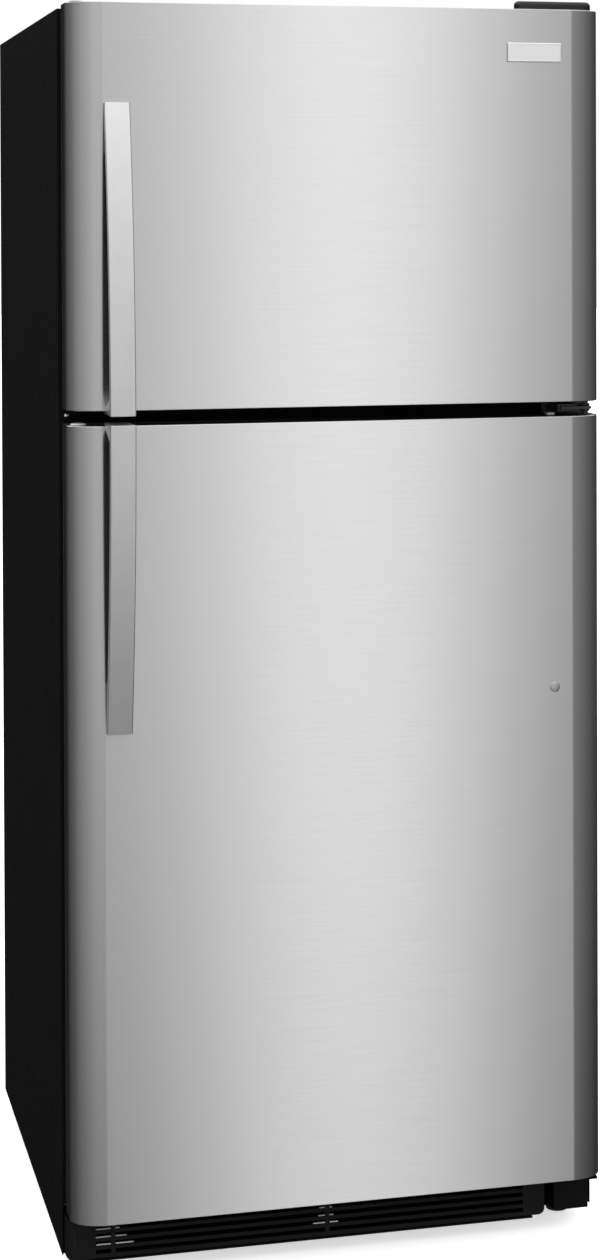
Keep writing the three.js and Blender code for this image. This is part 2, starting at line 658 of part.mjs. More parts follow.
function crisper() {
  const width = CRISPER.outer - CRISPER.inner;
  const depth = CRISPER.back - CRISPER.front;
  const body = tray([0, width], [0, depth], [0, CRISPER.top - CRISPER.bottom], CRISPER.wall);
  const grip = box([width / 2 - 70, width / 2 + 70], [-12, CRISPER.wall], [150, 156]);
  return join(body, grip);
}

function evaporatorCover() {
  const y = [EVAPORATOR_COVER, EVAPORATOR_COVER + 3];
  const half = CAVITY_HALF_WIDTH - 1;
  const sheet = box(wide(half), y, [FREEZER_CAVITY.bottom + 1, FREEZER_CAVITY.top - 1]);
  const opening = cylinder('y', FAN.radius + 4, [0, y[0], FAN.z], 20);
  const motor = cylinder('y', 18, [0, 303, FAN.z], 26);
  const strut = box([-8, 8], [296, 316], [FAN.z, FREEZER_CAVITY.top - 3]);
  const root = box([-8, 8], [y[0], 316], [FREEZER_CAVITY.top - 8, FREEZER_CAVITY.top - 2]);
  return join(cut(sheet, opening), motor, strut, root);
}

function evaporatorCoil() {
  const x = [-290, 290];
  const z = [1230, 1500];
  const fins = [];
  const count = 9;
  for (let i = 0; i < count; i += 1) {
    const middle = x[0] + 6 + ((x[1] - x[0] - 12) * i) / (count - 1);
    fins.push(box([middle - 1, middle + 1], [266, 320], z));
  }
  const rows = [0, 1, 2, 3].map((row) => box(x, [288, 298], [z[0] + 25 + row * 70, z[0] + 35 + row * 70]));
  return join(...rows, ...fins);
}

// Blades are thin plates, each turned about its own radius, round a hub on the Y axis.
function fan(radius, hub, depth, blades, shaft) {
  const pieces = [cylinder('y', hub, [0, 0, 0], depth, 16), cylinder('y', 3, [0, shaft / 2, 0], shaft, 12)];
  for (let i = 0; i < blades; i += 1) {
    const blade = box(wide(radius * 0.3), [-1, 1], [hub - 3, radius - 1]);
    blade.rotateZ(0.45);
    blade.rotateY((2 * Math.PI * i) / blades);
    pieces.push(blade);
  }
  return join(...pieces);
}

const HOUSING = { half: 150, front: -150, back: 70, bottom: 1098, wall: 3 };

function controlHousing() {
  const top = FRIDGE_CAVITY.top - GAP;
  const x = wide(HOUSING.half);
  const y = [HOUSING.front, HOUSING.back];
  const hollow = box(
    wide(HOUSING.half - HOUSING.wall), [y[0] + HOUSING.wall, y[1] - HOUSING.wall],
    [HOUSING.bottom - 1, top - HOUSING.wall],
  );
  const bores = [-80, 80].map((at) => cylinder('y', 4.5, [at, y[0], 1124], 20));
  return cut(box(x, y, [HOUSING.bottom, top]), hollow, ...bores);
}

// A control knob on a short shaft, with a raised grip across its face.
function knob() {
  return join(
    cylinder('y', 15, [0, -6, 0], 8), cylinder('y', 3.5, [0, 2, 0], 14, 16), box([-3, 3], [-15, -9], [-13, 13]),
  );
}

function lightBulb() {
  return turned([
    [0, -52], [9, -50], [17, -44], [22, -34], [23, -26], [20, -16], [13, -6], [11, 0], [11, 22], [0, 22],
  ], 16);
}

// ---------------------------------------------------------------- machine compartment

const COMPRESSOR = { x: -170, y: 305, radius: 78, top: 205 };

function compressor() {
  const bottom = 38;
  const r = COMPRESSOR.radius;
  const shell = turned([
    [0, bottom], [r - 25, bottom], [r - 6, bottom + 12], [r, bottom + 30], [r, 118], [r + 3, 120], [r + 3, 125],
    [r, 127], [r - 4, 165], [r - 20, 190], [r - 45, 202], [0, COMPRESSOR.top],
  ]);
  const plate = box([-95, 95], [-50, 50], [bottom - 3, bottom + 3]);
  const feet = [-80, 80].flatMap((x) => [-36, 36].map(
    (y) => cylinder('z', 12, [x, y, (CABINET_BOTTOM + PAN.sheet + GAP + bottom) / 2], bottom - CABINET_BOTTOM - 2.8, 16),
  ));
  const terminalBox = box([r - 10, r + 22], [-28, 28], [70, 130]);
  return join(shell, plate, ...feet, terminalBox);
}

const COIL = { x: [70, 340], y: [235, 385], z: [60, 235], rows: 6, radius: 4 };

// One tube that winds back and forth, level by level, in a flat upright serpent.
function condenserCoil() {
  const points = [];
  const pitch = (COIL.z[1] - COIL.z[0]) / (COIL.rows - 1);
  const turn = pitch / 2;
  for (let row = 0; row < COIL.rows; row += 1) {
    const z = COIL.z[0] + row * pitch;
    const ends = row % 2 === 0 ? COIL.x : [COIL.x[1], COIL.x[0]];
    const direction = Math.sign(ends[1] - ends[0]);
    points.push(new THREE.Vector3(ends[0] + direction * turn, 0, z));
    points.push(new THREE.Vector3((ends[0] + ends[1]) / 2, 0, z));
    points.push(new THREE.Vector3(ends[1] - direction * turn, 0, z));
    if (row < COIL.rows - 1) points.push(new THREE.Vector3(ends[1], 0, z + turn));
  }
  const plates = [COIL.x[0] + 45, COIL.x[1] - 45].map(
    (x) => box([x - 1, x + 1], [-28, 28], [CABINET_BOTTOM + PAN.sheet + 22, COIL.z[1] + 12]),
  );
  return join(tube(points, COIL.radius, 72), ...plates);
}

// The cover has a bushing near its lower corner, for the supply cord.
const BUSHING = { x: 345, z: 57, radius: 10, bore: 4.5 };

function machineCover() {
  const half = CABINET_HALF_WIDTH - 12;
  const y = [CABINET_BACK - 2.7, REAR_COVER_BACK];
  const z = [40, MACHINE.top - 3];
  const plate = box(wide(half), [y[1] - 4, y[1]], z);
  const rim = frame(half, z, y, 8);
  const slots = [];
  for (let row = 0; row < 9; row += 1) {
    for (const x of [[-330, -180], [-165, -15], [15, 165], [180, 330]]) {
      slots.push(box(x, [y[0] - 1, y[1] + 1], [70 + row * 20, 80 + row * 20]));
    }
  }
  const bushing = cylinder('y', BUSHING.radius, [BUSHING.x, y[1] - 5, BUSHING.z], 10);
  const bore = cylinder('y', BUSHING.bore, [BUSHING.x, y[1], BUSHING.z], 30);
  return cut(join(plate, rim, bushing), ...slots, bore);
}

// ---------------------------------------------------------------- assembly

const refrigerator = new THREE.Group();
refrigerator.add(freezerDoor(), fridgeDoor());

put(refrigerator, 'cabinet_wrapper', cabinetWrapper(), blackPaint);
put(refrigerator, 'foam_insulation', foamInsulation(), foamYellow);
put(refrigerator, 'freezer_liner', freezerLiner(), whiteLiner);
put(refrigerator, 'fridge_liner', fridgeLiner(), whiteLiner);
put(refrigerator, 'mullion_rail', mullionRail(), blackPaint);
put(refrigerator, 'rear_panel', rearPanel(), galvanised);
put(refrigerator, 'light_switch_plunger', lightSwitchPlunger(), whiteLiner);

put(refrigerator, 'top_hinge', topHinge(), galvanised);
put(refrigerator, 'top_hinge_cover', topHingeCover(), glossBlack);
put(refrigerator, 'center_hinge', centerHinge(), blackPaint);
put(refrigerator, 'lower_hinge', lowerHinge(), blackPaint);

put(refrigerator, 'base_pan', basePan(), blackPaint);
put(refrigerator, 'toe_grille', toeGrille(), blackPlastic);
for (const [side, name] of [[-1, 'left'], [1, 'right']]) {
  put(refrigerator, `${name}_leveling_leg`, levelingLeg(), blackPlastic, [side * LEG.x, LEG.y, 0]);
  put(refrigerator, `${name}_rear_roller`, rearRoller(), blackPlastic, [side * ROLLER.x, ROLLER.y, ROLLER.radius]);
}

put(refrigerator, 'upper_shelf', glassShelf(UPPER_SHELF, FRIDGE_CAVITY.back - 3), clearPlastic);
put(refrigerator, 'middle_shelf', glassShelf(MIDDLE_SHELF, FRIDGE_CAVITY.back - 3), clearPlastic);
put(refrigerator, 'crisper_cover', glassShelf(CRISPER_COVER, FRIDGE_CAVITY.back - 3), clearPlastic);
put(refrigerator, 'freezer_shelf', glassShelf(FREEZER_SHELF, EVAPORATOR_COVER - 3), clearPlastic);
for (const [name, left] of [['left', -CRISPER.outer], ['right', CRISPER.inner]]) {
  put(refrigerator, `${name}_crisper`, crisper(), clearPlastic, [left, CRISPER.front, CRISPER.bottom]);
}
for (const [name, x] of [['left', -SLIDE.x - SLIDE.travel], ['right', SLIDE.x]]) {
  put(refrigerator, `${name}_humidity_slide`, humiditySlide(), greyPlastic, [x, 0, 0]);
}

put(refrigerator, 'control_housing', controlHousing(), whiteLiner);
put(refrigerator, 'freezer_knob', knob(), greyPlastic, [-80, HOUSING.front, 1124]);
put(refrigerator, 'fridge_knob', knob(), greyPlastic, [80, HOUSING.front, 1124]);
put(refrigerator, 'light_bulb', lightBulb(), bulbGlass, [0, -40, 1124.4]);

put(refrigerator, 'evaporator_cover', evaporatorCover(), whiteLiner);
put(refrigerator, 'evaporator_coil', evaporatorCoil(), aluminium);
put(refrigerator, 'evaporator_fan', fan(FAN.radius, 12, 16, 4, 13.5), greyPlastic, [0, 276, FAN.z]);

put(refrigerator, 'compressor', compressor(), blackPaint, [COMPRESSOR.x, COMPRESSOR.y, 0]);
put(refrigerator, 'condenser_coil', condenserCoil(), copper, [0, (COIL.y[0] + COIL.y[1]) / 2, 0]);
put(
  refrigerator, 'drain_pan', tray([60, 318], [215, 395], [CABINET_BOTTOM + PAN.sheet + GAP, 45], 2), blackPlastic,
);
const condenserFan = fan(CONDENSER_FAN.radius, 14, 16, 4, 15.5).rotateZ(-Math.PI / 2);
put(
  refrigerator, 'condenser_fan', condenserFan, blackPlastic, [CONDENSER_FAN.x, CONDENSER_FAN.y, CONDENSER_FAN.z],
);
put(refrigerator, 'machine_cover', machineCover(), blackPlastic);

export default refrigerator;
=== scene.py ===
"""Looks of a top-freezer refrigerator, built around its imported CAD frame. Metres, X right, Y back, Z up."""
import json
import math

import bmesh
import bpy
from mathutils import Matrix, Vector


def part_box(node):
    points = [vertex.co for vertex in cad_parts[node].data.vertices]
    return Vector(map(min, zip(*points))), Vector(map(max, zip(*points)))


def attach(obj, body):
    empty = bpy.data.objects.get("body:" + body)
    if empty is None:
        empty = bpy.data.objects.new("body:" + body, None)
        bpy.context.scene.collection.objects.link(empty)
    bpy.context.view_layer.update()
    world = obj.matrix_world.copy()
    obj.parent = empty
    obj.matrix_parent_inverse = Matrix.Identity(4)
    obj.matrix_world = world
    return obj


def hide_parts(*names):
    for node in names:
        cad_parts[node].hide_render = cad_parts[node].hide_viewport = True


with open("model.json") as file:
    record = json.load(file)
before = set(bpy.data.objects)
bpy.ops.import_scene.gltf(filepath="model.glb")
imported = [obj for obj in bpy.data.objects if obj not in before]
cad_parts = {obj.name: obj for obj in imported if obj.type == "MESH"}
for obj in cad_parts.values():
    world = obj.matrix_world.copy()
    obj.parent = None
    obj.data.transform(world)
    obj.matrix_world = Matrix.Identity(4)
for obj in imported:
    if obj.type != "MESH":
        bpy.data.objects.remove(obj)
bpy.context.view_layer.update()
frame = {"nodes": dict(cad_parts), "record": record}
NODES = frame["nodes"]

MM = 0.001


# ---------------------------------------------------------------- camera

def make_camera():
    """The lens is about 74 mm at eye level, from the front left, with a shift in place of a tilt."""
    data = bpy.data.cameras.new("camera")
    data.sensor_fit = "AUTO"
    data.sensor_width = 36.0
    data.lens = CAMERA["lens"]
    data.shift_x = CAMERA["shift"][0]
    data.shift_y = CAMERA["shift"][1]
    data.clip_end = 200.0
    camera = bpy.data.objects.new("camera", data)
    camera.location = CAMERA["place"]
    camera.rotation_euler = (math.pi / 2 + CAMERA["pitch"], CAMERA["roll"], CAMERA["yaw"])
    bpy.context.scene.collection.objects.link(camera)
    bpy.context.scene.camera = camera


CAMERA = {
    "place": (-0.8470, -3.8008, 1.4371),
    "lens": 73.19,
    "shift": (-0.035, -0.292),
    "pitch": -0.0129,
    "roll": 0.0034,
    "yaw": -0.2426,
}


# ---------------------------------------------------------------- materials

class Shader:
    """A Principled material and short calls for the nodes in front of it."""

    def __init__(self, name, color, roughness, metallic=0.0, **sockets):
        self.material = bpy.data.materials.new(name)
        self.material.use_nodes = True
        tree = self.material.node_tree
        self.nodes = tree.nodes
        self.links = tree.links
        self.bsdf = self.nodes["Principled BSDF"]
        self.color = tuple(color) + (1.0,)
        self.bsdf.inputs["Base Color"].default_value = self.color
        self.bsdf.inputs["Roughness"].default_value = roughness
        self.bsdf.inputs["Metallic"].default_value = metallic
        self.roughness = roughness
        for socket, value in sockets.items():
            self.bsdf.inputs[socket.replace("_", " ")].default_value = value
        self.height = None
        self.coordinates = self.nodes.new("ShaderNodeTexCoord").outputs["Object"]

    def noise(self, scale, detail=3.0, stretch=(1, 1, 1)):
        mapping = self.nodes.new("ShaderNodeMapping")
        mapping.inputs["Scale"].default_value = stretch
        self.links.new(self.coordinates, mapping.inputs["Vector"])
        noise = self.nodes.new("ShaderNodeTexNoise")
        noise.inputs["Scale"].default_value = scale
        noise.inputs["Detail"].default_value = detail
        self.links.new(mapping.outputs["Vector"], noise.inputs["Vector"])
        return noise.outputs["Fac"]

    def spread(self, value, low, high):
        """The value's middle range mapped to low..high."""
        node = self.nodes.new("ShaderNodeMapRange")
        node.inputs["From Min"].default_value = 0.3
        node.inputs["From Max"].default_value = 0.7
        node.inputs["To Min"].default_value = low
        node.inputs["To Max"].default_value = high
        self.links.new(value, node.inputs["Value"])
        return node.outputs["Result"]

    def vary_color(self, value, amount):
        """The base colour gets up to this much darker and lighter."""
        mix = self.nodes.new("ShaderNodeMix")
        mix.data_type = "RGBA"
        mix.inputs["A"].default_value = tuple(c * (1 - amount) for c in self.color[:3]) + (1.0,)
        mix.inputs["B"].default_value = tuple(min(1.0, c * (1 + amount)) for c in self.color[:3]) + (1.0,)
        self.links.new(self.spread(value, 0.0, 1.0), mix.inputs["Factor"])
        self.links.new(mix.outputs["Result"], self.bsdf.inputs["Base Color"])
        return self

    def vary_roughness(self, value, amount):
        low = max(0.02, self.roughness - amount)
        self.links.new(self.spread(value, low, self.roughness + amount), self.bsdf.inputs["Roughness"])
        return self

    def bump(self, value, distance, strength=1.0):
        node = self.nodes.new("ShaderNodeBump")
        node.inputs["Strength"].default_value = strength
        node.inputs["Distance"].default_value = distance
        self.links.new(value, node.inputs["Height"])
        if self.height is not None:
            self.links.new(self.height, node.inputs["Normal"])
        self.height = node.outputs["Normal"]
        self.links.new(self.height, self.bsdf.inputs["Normal"])
        return self

    def brushed_round(self, rotation):
        """The grain runs level all round the object, and blurs reflections up and down."""
        tangent = self.nodes.new("ShaderNodeTangent")
        tangent.direction_type = "RADIAL"
        tangent.axis = "Z"
        self.links.new(tangent.outputs["Tangent"], self.bsdf.inputs["Tangent"])
        self.bsdf.inputs["Anisotropic Rotation"].default_value = rotation
        return self


def brushed_steel():
    shader = Shader("brushed_steel", (0.66, 0.665, 0.66), 0.22, 1.0, Anisotropic=0.84)
    shader.brushed_round(0.25)
    grain = shader.noise(1.0, 2.0, (6.0, 6.0, 2600.0))
    shader.vary_color(grain, 0.018)
    shader.vary_roughness(shader.noise(1.0, 3.0, (14.0, 14.0, 900.0)), 0.012)
    shader.bump(grain, 0.000006, 0.4)
    return shader.material


def satin_metal():
    shader = Shader("satin_handle", (0.82, 0.82, 0.815), 0.4, 1.0)
    fine = shader.noise(2200.0, 2.0)
    shader.vary_color(shader.noise(30.0), 0.02)
    shader.vary_roughness(fine, 0.03)
    shader.bump(fine, 0.00001, 0.4)
    return shader.material


def black_paint():
    """Baked paint with a fine pebbled texture."""
    shader = Shader("black_paint", (0.003, 0.0035, 0.0033), 0.65, 0.0, Specular_IOR_Level=0.07)
    shader.vary_color(shader.noise(9.0), 0.12)
    shader.vary_roughness(shader.noise(60.0), 0.04)
    shader.bump(shader.noise(700.0, 3.0), 0.00018, 0.6)
    return shader.material


def moulded(name, color, roughness, grain=1400.0, depth=0.00004, **sockets):
    """Moulded plastic: faint mottling, a fine spark-eroded grain and slightly uneven gloss."""
    shader = Shader(name, color, roughness, 0.0, **sockets)
    shader.vary_color(shader.noise(18.0), 0.02)
    shader.vary_roughness(shader.noise(45.0), 0.02)
    shader.bump(shader.noise(grain, 2.0), depth, 0.5)
    return shader.material


def zinc_sheet():
    """Zinc coated sheet: small crystals that differ a little in shade and gloss."""
    shader = Shader("galvanised", (0.52, 0.53, 0.54), 0.42, 0.55)
    spangle = shader.nodes.new("ShaderNodeTexVoronoi")
    spangle.inputs["Scale"].default_value = 170.0
    shader.links.new(shader.coordinates, spangle.inputs["Vector"])
    shader.vary_color(spangle.outputs["Color"], 0.05)
    shader.vary_roughness(shader.noise(160.0), 0.04)
    return shader.material


def clear(name, color, roughness):
    shader = Shader(name, color, roughness, 0.0, Transmission_Weight=0.9, IOR=1.4)
    shader.vary_color(shader.noise(12.0), 0.02)
    shader.vary_roughness(shader.noise(35.0), 0.02)
    return shader.material


def bare_metal(name, color, roughness, scale):
    shader = Shader(name, color, roughness, 1.0)
    shader.vary_color(shader.noise(scale), 0.08)
    shader.vary_roughness(shader.noise(scale * 3), 0.06)
    return shader.material


def pearl_plate():
    """Pale satin plating with a very fine grain."""
    shader = Shader("badge_plate", (0.95, 0.955, 0.95), 0.36, 0.85)
    shader.vary_roughness(shader.noise(500.0), 0.03)
    shader.bump(shader.noise(2600.0, 2.0), 0.000008, 0.4)
    return shader.material


def expanded_foam():
    shader = Shader("foam", (0.72, 0.6, 0.36), 0.95)
    shader.vary_color(shader.noise(25.0), 0.15)
    shader.bump(shader.noise(260.0, 4.0), 0.0012, 0.8)
    return shader.material


FINISH = {
    "stainless_skin": brushed_steel(),
    "satin_handle": satin_metal(),
    "black_paint": black_paint(),
    "black_plastic": moulded("black_plastic", (0.012, 0.012, 0.0125), 0.42),
    "gloss_black": moulded("gloss_black", (0.006, 0.006, 0.0065), 0.16, 300.0, 0.00002),
    "galvanised": zinc_sheet(),
    "white_liner": moulded("white_liner", (0.84, 0.85, 0.85), 0.3, 500.0, 0.00006),
    "clear_plastic": clear("clear_plastic", (0.93, 0.96, 0.97), 0.08),
    "shelf_glass": clear("shelf_glass", (0.86, 0.95, 0.92), 0.03),
    "foam": expanded_foam(),
    "gasket": moulded("gasket", (0.03, 0.031, 0.033), 0.6, 900.0, 0.00006),
    "aluminium": bare_metal("aluminium", (0.78, 0.79, 0.8), 0.3, 60.0),
    "copper": bare_metal("copper", (0.72, 0.36, 0.22), 0.28, 40.0),
    "grey_plastic": moulded("grey_plastic", (0.42, 0.43, 0.44), 0.45),
    "badge_plate": pearl_plate(),
    "bulb": clear("bulb", (0.97, 0.96, 0.93), 0.35),
}
CHROME = bare_metal("chrome_screw", (0.85, 0.85, 0.85), 0.15, 80.0)
# A dark plastic for the strip behind the handle bars; its darkness is painted shade for the handle's recess.
DARK_INNER_PAINTED_SHADE = moulded("handle_inner_painted_shade", (0.02, 0.02, 0.021), 0.5)
# The door frames' black is lighter than the other black plastic, to stand in for the light on their side bands:
# painted light.
FRAME_BLACK_PAINTED_LIGHT = moulded("door_frame_painted_light", (0.026, 0.026, 0.027), 0.4)
# The toe grille's black is darker than the other black plastic, as painted shade for the dark under the door.
GRILLE_BLACK_PAINTED_SHADE = moulded("grille_painted_shade", (0.0045, 0.0045, 0.0047), 0.5, Specular_IOR_Level=0.12)
# The centre hinge is dark, but this grey is lighter than its black paint to stand in for the light on its face:
# painted light.
HINGE_PAINTED_LIGHT = moulded("hinge_painted_light", (0.03, 0.03, 0.03), 0.45)
PLUG_METAL = bare_metal("plug_metal", (0.58, 0.58, 0.575), 0.34, 80.0)
SLOT_OF = {row["node"]: row["material_slot"] for row in frame["record"]["subparts"]}
BODY_OF = {node: body for body, nodes in frame["record"]["behaviour"]["bodies"].items() for node in nodes}


# ---------------------------------------------------------------- mesh tools

def smooth(mesh, angle=35.0):
    mesh.polygons.foreach_set("use_smooth", [True] * len(mesh.polygons))
    mesh.set_sharp_from_angle(angle=math.radians(angle))


def piece_from(bm, name, body, material, replaces=(), angle=35.0):
    """A finished object from a bmesh, riding on its body."""
    bmesh.ops.recalc_face_normals(bm, faces=bm.faces)
    mesh = bpy.data.meshes.new(name)
    bm.to_mesh(mesh)
    bm.free()
    smooth(mesh, angle)
    mesh.materials.append(material)
    piece = bpy.data.objects.new(name, mesh)
    bpy.context.scene.collection.objects.link(piece)
    weighted = piece.modifiers.new("weighted_normals", "WEIGHTED_NORMAL")
    weighted.keep_sharp = True
    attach(piece, body)
    if replaces:
        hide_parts(*replaces)
    return piece


def soften(node, width, segments=2, angle=25.0, material=None):
    """A CAD node again, with its coplanar faces joined and its edges rounded."""
    bm = bmesh.new()
    bm.from_mesh(NODES[node].data)
    bmesh.ops.remove_doubles(bm, verts=bm.verts, dist=1e-5)
    bmesh.ops.dissolve_limit(bm, angle_limit=math.radians(1.0), verts=bm.verts, edges=bm.edges)
    sharp = [e for e in bm.edges if len(e.link_faces) == 2 and e.calc_face_angle(0.0) > math.radians(angle)]
    bmesh.ops.bevel(
        bm, geom=sharp, offset=width, segments=segments, profile=0.5, affect="EDGES", clamp_overlap=True,
    )
    bmesh.ops.triangulate(bm, faces=[f for f in bm.faces if len(f.verts) > 4])
    slot = SLOT_OF[node]
    return piece_from(bm, f"{node}_detailed", BODY_OF[node], material or FINISH[slot], [node], 40.0)


def sweep(bm, rings, closed_rings=True, closed_path=False):
    """Faces between successive rings of points, with caps on an open path."""
    loops = [[bm.verts.new(point) for point in ring] for ring in rings]
    count = len(loops[0])
    pairs = list(zip(loops, loops[1:]))
    if closed_path:
        pairs.append((loops[-1], loops[0]))
    last = count if closed_rings else count - 1
    for here, there in pairs:
        for i in range(last):
            j = (i + 1) % count
            bm.faces.new((here[i], here[j], there[j], there[i]))
    if not closed_path:
        bm.faces.new(loops[0])
        bm.faces.new(list(reversed(loops[-1])))


def arc(centre, radius, start, end, steps):
    """Points on a circle in a plane, as (u, v), with angles in degrees."""
    points = []
    for i in range(steps + 1):
        angle = math.radians(start + (end - start) * i / steps)
        points.append((centre[0] + radius * math.cos(angle), centre[1] + radius * math.sin(angle)))
    return points


def lathe(bm, profile, place, axis="z", steps=48):
    """A turned solid: profile is a list of (radius, height), from axis to axis."""
    turn = {"z": Matrix.Identity(4), "x": Matrix.Rotation(math.pi / 2, 4, "Y"),
            "y": Matrix.Rotation(-math.pi / 2, 4, "X")}[axis]
    move = Matrix.Translation(place) @ turn
    first = bm.verts.new(move @ Vector((0, 0, profile[0][1])))
    last = bm.verts.new(move @ Vector((0, 0, profile[-1][1])))
    loops = []
    for radius, height in profile[1:-1]:
        loops.append([
            bm.verts.new(move @ Vector((radius * math.cos(a), radius * math.sin(a), height)))
            for a in (2 * math.pi * i / steps for i in range(steps))
        ])
    for i in range(steps):
        j = (i + 1) % steps
        bm.faces.new((first, loops[0][j], loops[0][i]))
        bm.faces.new((last, loops[-1][i], loops[-1][j]))
        for here, there in zip(loops, loops[1:]):
            bm.faces.new((here[i], here[j], there[j], there[i]))


def soft_box(bm, low, high, width, segments=3):
    """A box with rounded edges, added to a bmesh."""
    made = bmesh.ops.create_cube(bm, size=1.0)
    size = Vector(high) - Vector(low)
    centre = (Vector(high) + Vector(low)) / 2
    for vert in made["verts"]:
        vert.co = Vector((vert.co.x * size.x, vert.co.y * size.y, vert.co.z * size.z)) + centre
    edges = {edge for vert in made["verts"] for edge in vert.link_edges}
    bmesh.ops.bevel(bm, geom=list(edges), offset=width, segments=segments, profile=0.5, affect="EDGES")


# ---------------------------------------------------------------- doors

CORNER = {"across": 48 * MM, "back": 34 * MM}
SHEET = 1.5 * MM
WRAP = 60 * MM


def plan_path(half, front, back, steps=18):
    """The door's plan from its back left edge round to its back right edge: (point, inward normal)."""
    path = [((-half, back), (1.0, 0.0))]
    for sign, start in ((-1, 180), (1, 270)):
        centre = (sign * (half - CORNER["across"]), front + CORNER["back"])
        for u, v in arc((0, 0), 1.0, start, start + 90, steps):
            point = (centre[0] + CORNER["across"] * u, centre[1] + CORNER["back"] * v)
            inward = Vector((-u / CORNER["across"], -v / CORNER["back"])).normalized()
            path.append((point, tuple(inward)))
    path.append(((half, back), (-1.0, 0.0)))
    return path


def hem_profile(low, high):
    """The sheet's upright section, (inset, height): rounded over at the top and bottom."""
    turn = SHEET * 0.8
    profile = []
    for height, start in ((low + turn, 270), (high - turn, 0)):
        centre = (turn, height)
        for u, v in arc(centre, turn, start, start + 90, 4):
            profile.append((2 * turn - u, v))
    profile.append((SHEET, high))
    profile.append((SHEET, low))
    return profile


def door_skin(name):
    low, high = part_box(f"{name}_door_skin")
    profile = hem_profile(low[2], high[2])
    rings = []
    for point, inward in plan_path(high[0], low[1], low[1] + WRAP):
        rings.append([
            (point[0] + inward[0] * inset, point[1] + inward[1] * inset, height) for inset, height in profile
        ])
    bm = bmesh.new()
    sweep(bm, rings)
    piece_from(
        bm, f"{name}_brushed_skin", f"{name}_door", FINISH["stainless_skin"],
        [f"{name}_door_skin"], 50.0,
    )


HANDLE = {"length": 416 * MM, "rise": 42 * MM, "end": 8 * MM, "thickness": 8 * MM, "arch": 5 * MM}


def handle_stand_off(t):
    return HANDLE["end"] + HANDLE["rise"] * (1 - (1 - t) ** 2)


def bar_section(width, thickness, radius, steps=4):
    """A rounded bar seen end on, (across, depth), with its face at depth 0."""
    half = width / 2
    points = []
    corners = (
        ((-half + radius, radius), 180), ((half - radius, radius), 270),
        ((half - radius * 0.5, thickness - radius * 0.5), 0), ((-half + radius * 0.5, thickness - radius * 0.5), 90),
    )
    for index, (centre, start) in enumerate(corners):
        points += arc(centre, radius if index < 2 else radius * 0.5, start, start + 90, steps)
    return points


def door_handle(name, direction):
    """A bowed bar: its free end lies on the door, and its foot wraps the door's edge at the parting line."""
    low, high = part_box(f"{name}_handle")
    centre_x = (low[0] + high[0]) / 2
    width = high[0] - low[0]
    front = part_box(f"{name}_door_skin")[0][1]
    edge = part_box(f"{name}_door_skin")[0][2] if direction > 0 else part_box(f"{name}_door_skin")[1][2]
    bm = bmesh.new()
    rings = []
    steps = 60
    for i in range(steps + 1):
        t = i / steps
        along = HANDLE["length"] * (1 - t)
        out = handle_stand_off(t)
        slope = HANDLE["rise"] * 2 * (1 - t) / HANDLE["length"]
        tilt = math.atan(slope)
        thick = min(HANDLE["thickness"], max(out - 0.4 * MM, 1.5 * MM))
        section = bar_section(width, thick, 1.6 * MM)
        ring = []
        for across, depth in section:
            arched = HANDLE["arch"] * (1 - (2 * across / width) ** 2) * max(0.0, 1 - t * 12)
            y = front - out + depth * math.cos(tilt)
            z = along + arched - depth * math.sin(tilt) * min(1.0, t * 8)
            ring.append((centre_x + across, min(y, front - 0.3 * MM), edge + direction * z))
        rings.append(ring)
    foot = HANDLE["tab"] if "tab" in HANDLE else 4 * MM
    out = handle_stand_off(1.0)
    ring = [
        (centre_x + across, front - out + depth, edge - direction * (foot - 0.6 * MM))
        for across, depth in bar_section(width, HANDLE["thickness"], 1.6 * MM)
    ]
    rings.append(ring)
    rings.append([
        (centre_x + across * 0.97, front - out + 0.6 * MM + depth * 0.9, edge - direction * foot)
        for across, depth in bar_section(width, HANDLE["thickness"], 1.6 * MM)
    ])
    sweep(bm, rings)
    bar = piece_from(
        bm, f"{name}_handle_bar", f"{name}_door", FINISH["satin_handle"], [f"{name}_handle"], 40.0,
    )
    handle_foot(name, centre_x, width, front, edge, direction)
    handle_shade_lining(name, centre_x, width, front, edge, direction)
    return bar


def handle_foot(name, centre_x, width, front, edge, direction):
    """The wedge between bar and door, with a tab that wraps the door's edge."""
    outline = [
        (front - 43 * MM, -3.9 * MM), (front - 42.5 * MM, 21 * MM), (front - 0.4 * MM, 5 * MM),
        (front - 0.4 * MM, -0.4 * MM), (front + 15.8 * MM, -0.4 * MM), (front + 15.8 * MM, -3.6 * MM),
    ]
    bm = bmesh.new()
    half = width / 2 - 0.8 * MM
    rings = [
        [(centre_x + side * half, y, edge + direction * z) for y, z in outline] for side in (-1, 1)
    ]
    sweep(bm, rings)
    bmesh.ops.bevel(bm, geom=list(bm.edges), offset=0.5 * MM, segments=2, profile=0.5, affect="EDGES")
    piece_from(bm, f"{name}_handle_foot", f"{name}_door", FINISH["satin_handle"], (), 40.0)


def handle_shade_lining(name, centre_x, width, front, edge, direction):
    """A dark moulded strip that closes the back of the bar; its dark colour is painted shade for the shadow in the
    handle's recess.
    """
    bm = bmesh.new()
    rings = []
    steps = 40
    half = width / 2 - 1.0 * MM
    for i in range(steps + 1):
        t = 0.16 + 0.79 * i / steps
        y = front - handle_stand_off(t) + HANDLE["thickness"]
        z = edge + direction * HANDLE["length"] * (1 - t)
        rings.append([
            (centre_x - half, y - 3 * MM, z), (centre_x + half, y - 3 * MM, z),
            (centre_x + half, y + 0.5 * MM, z), (centre_x - half, y + 0.5 * MM, z),
        ])
    sweep(bm, rings)
    piece_from(bm, f"{name}_handle_shade_lining", f"{name}_door", DARK_INNER_PAINTED_SHADE, (), 40.0)


def button(bm, place, radius, height, axis="z"):
    """A shallow domed plug."""
    profile = [(0, -1.5 * MM), (radius, -1.5 * MM), (radius, height * 0.35), (radius * 0.93, height * 0.75),
               (radius * 0.75, height * 0.93), (radius * 0.4, height), (0, height)]
    lathe(bm, profile, place, axis, 40)


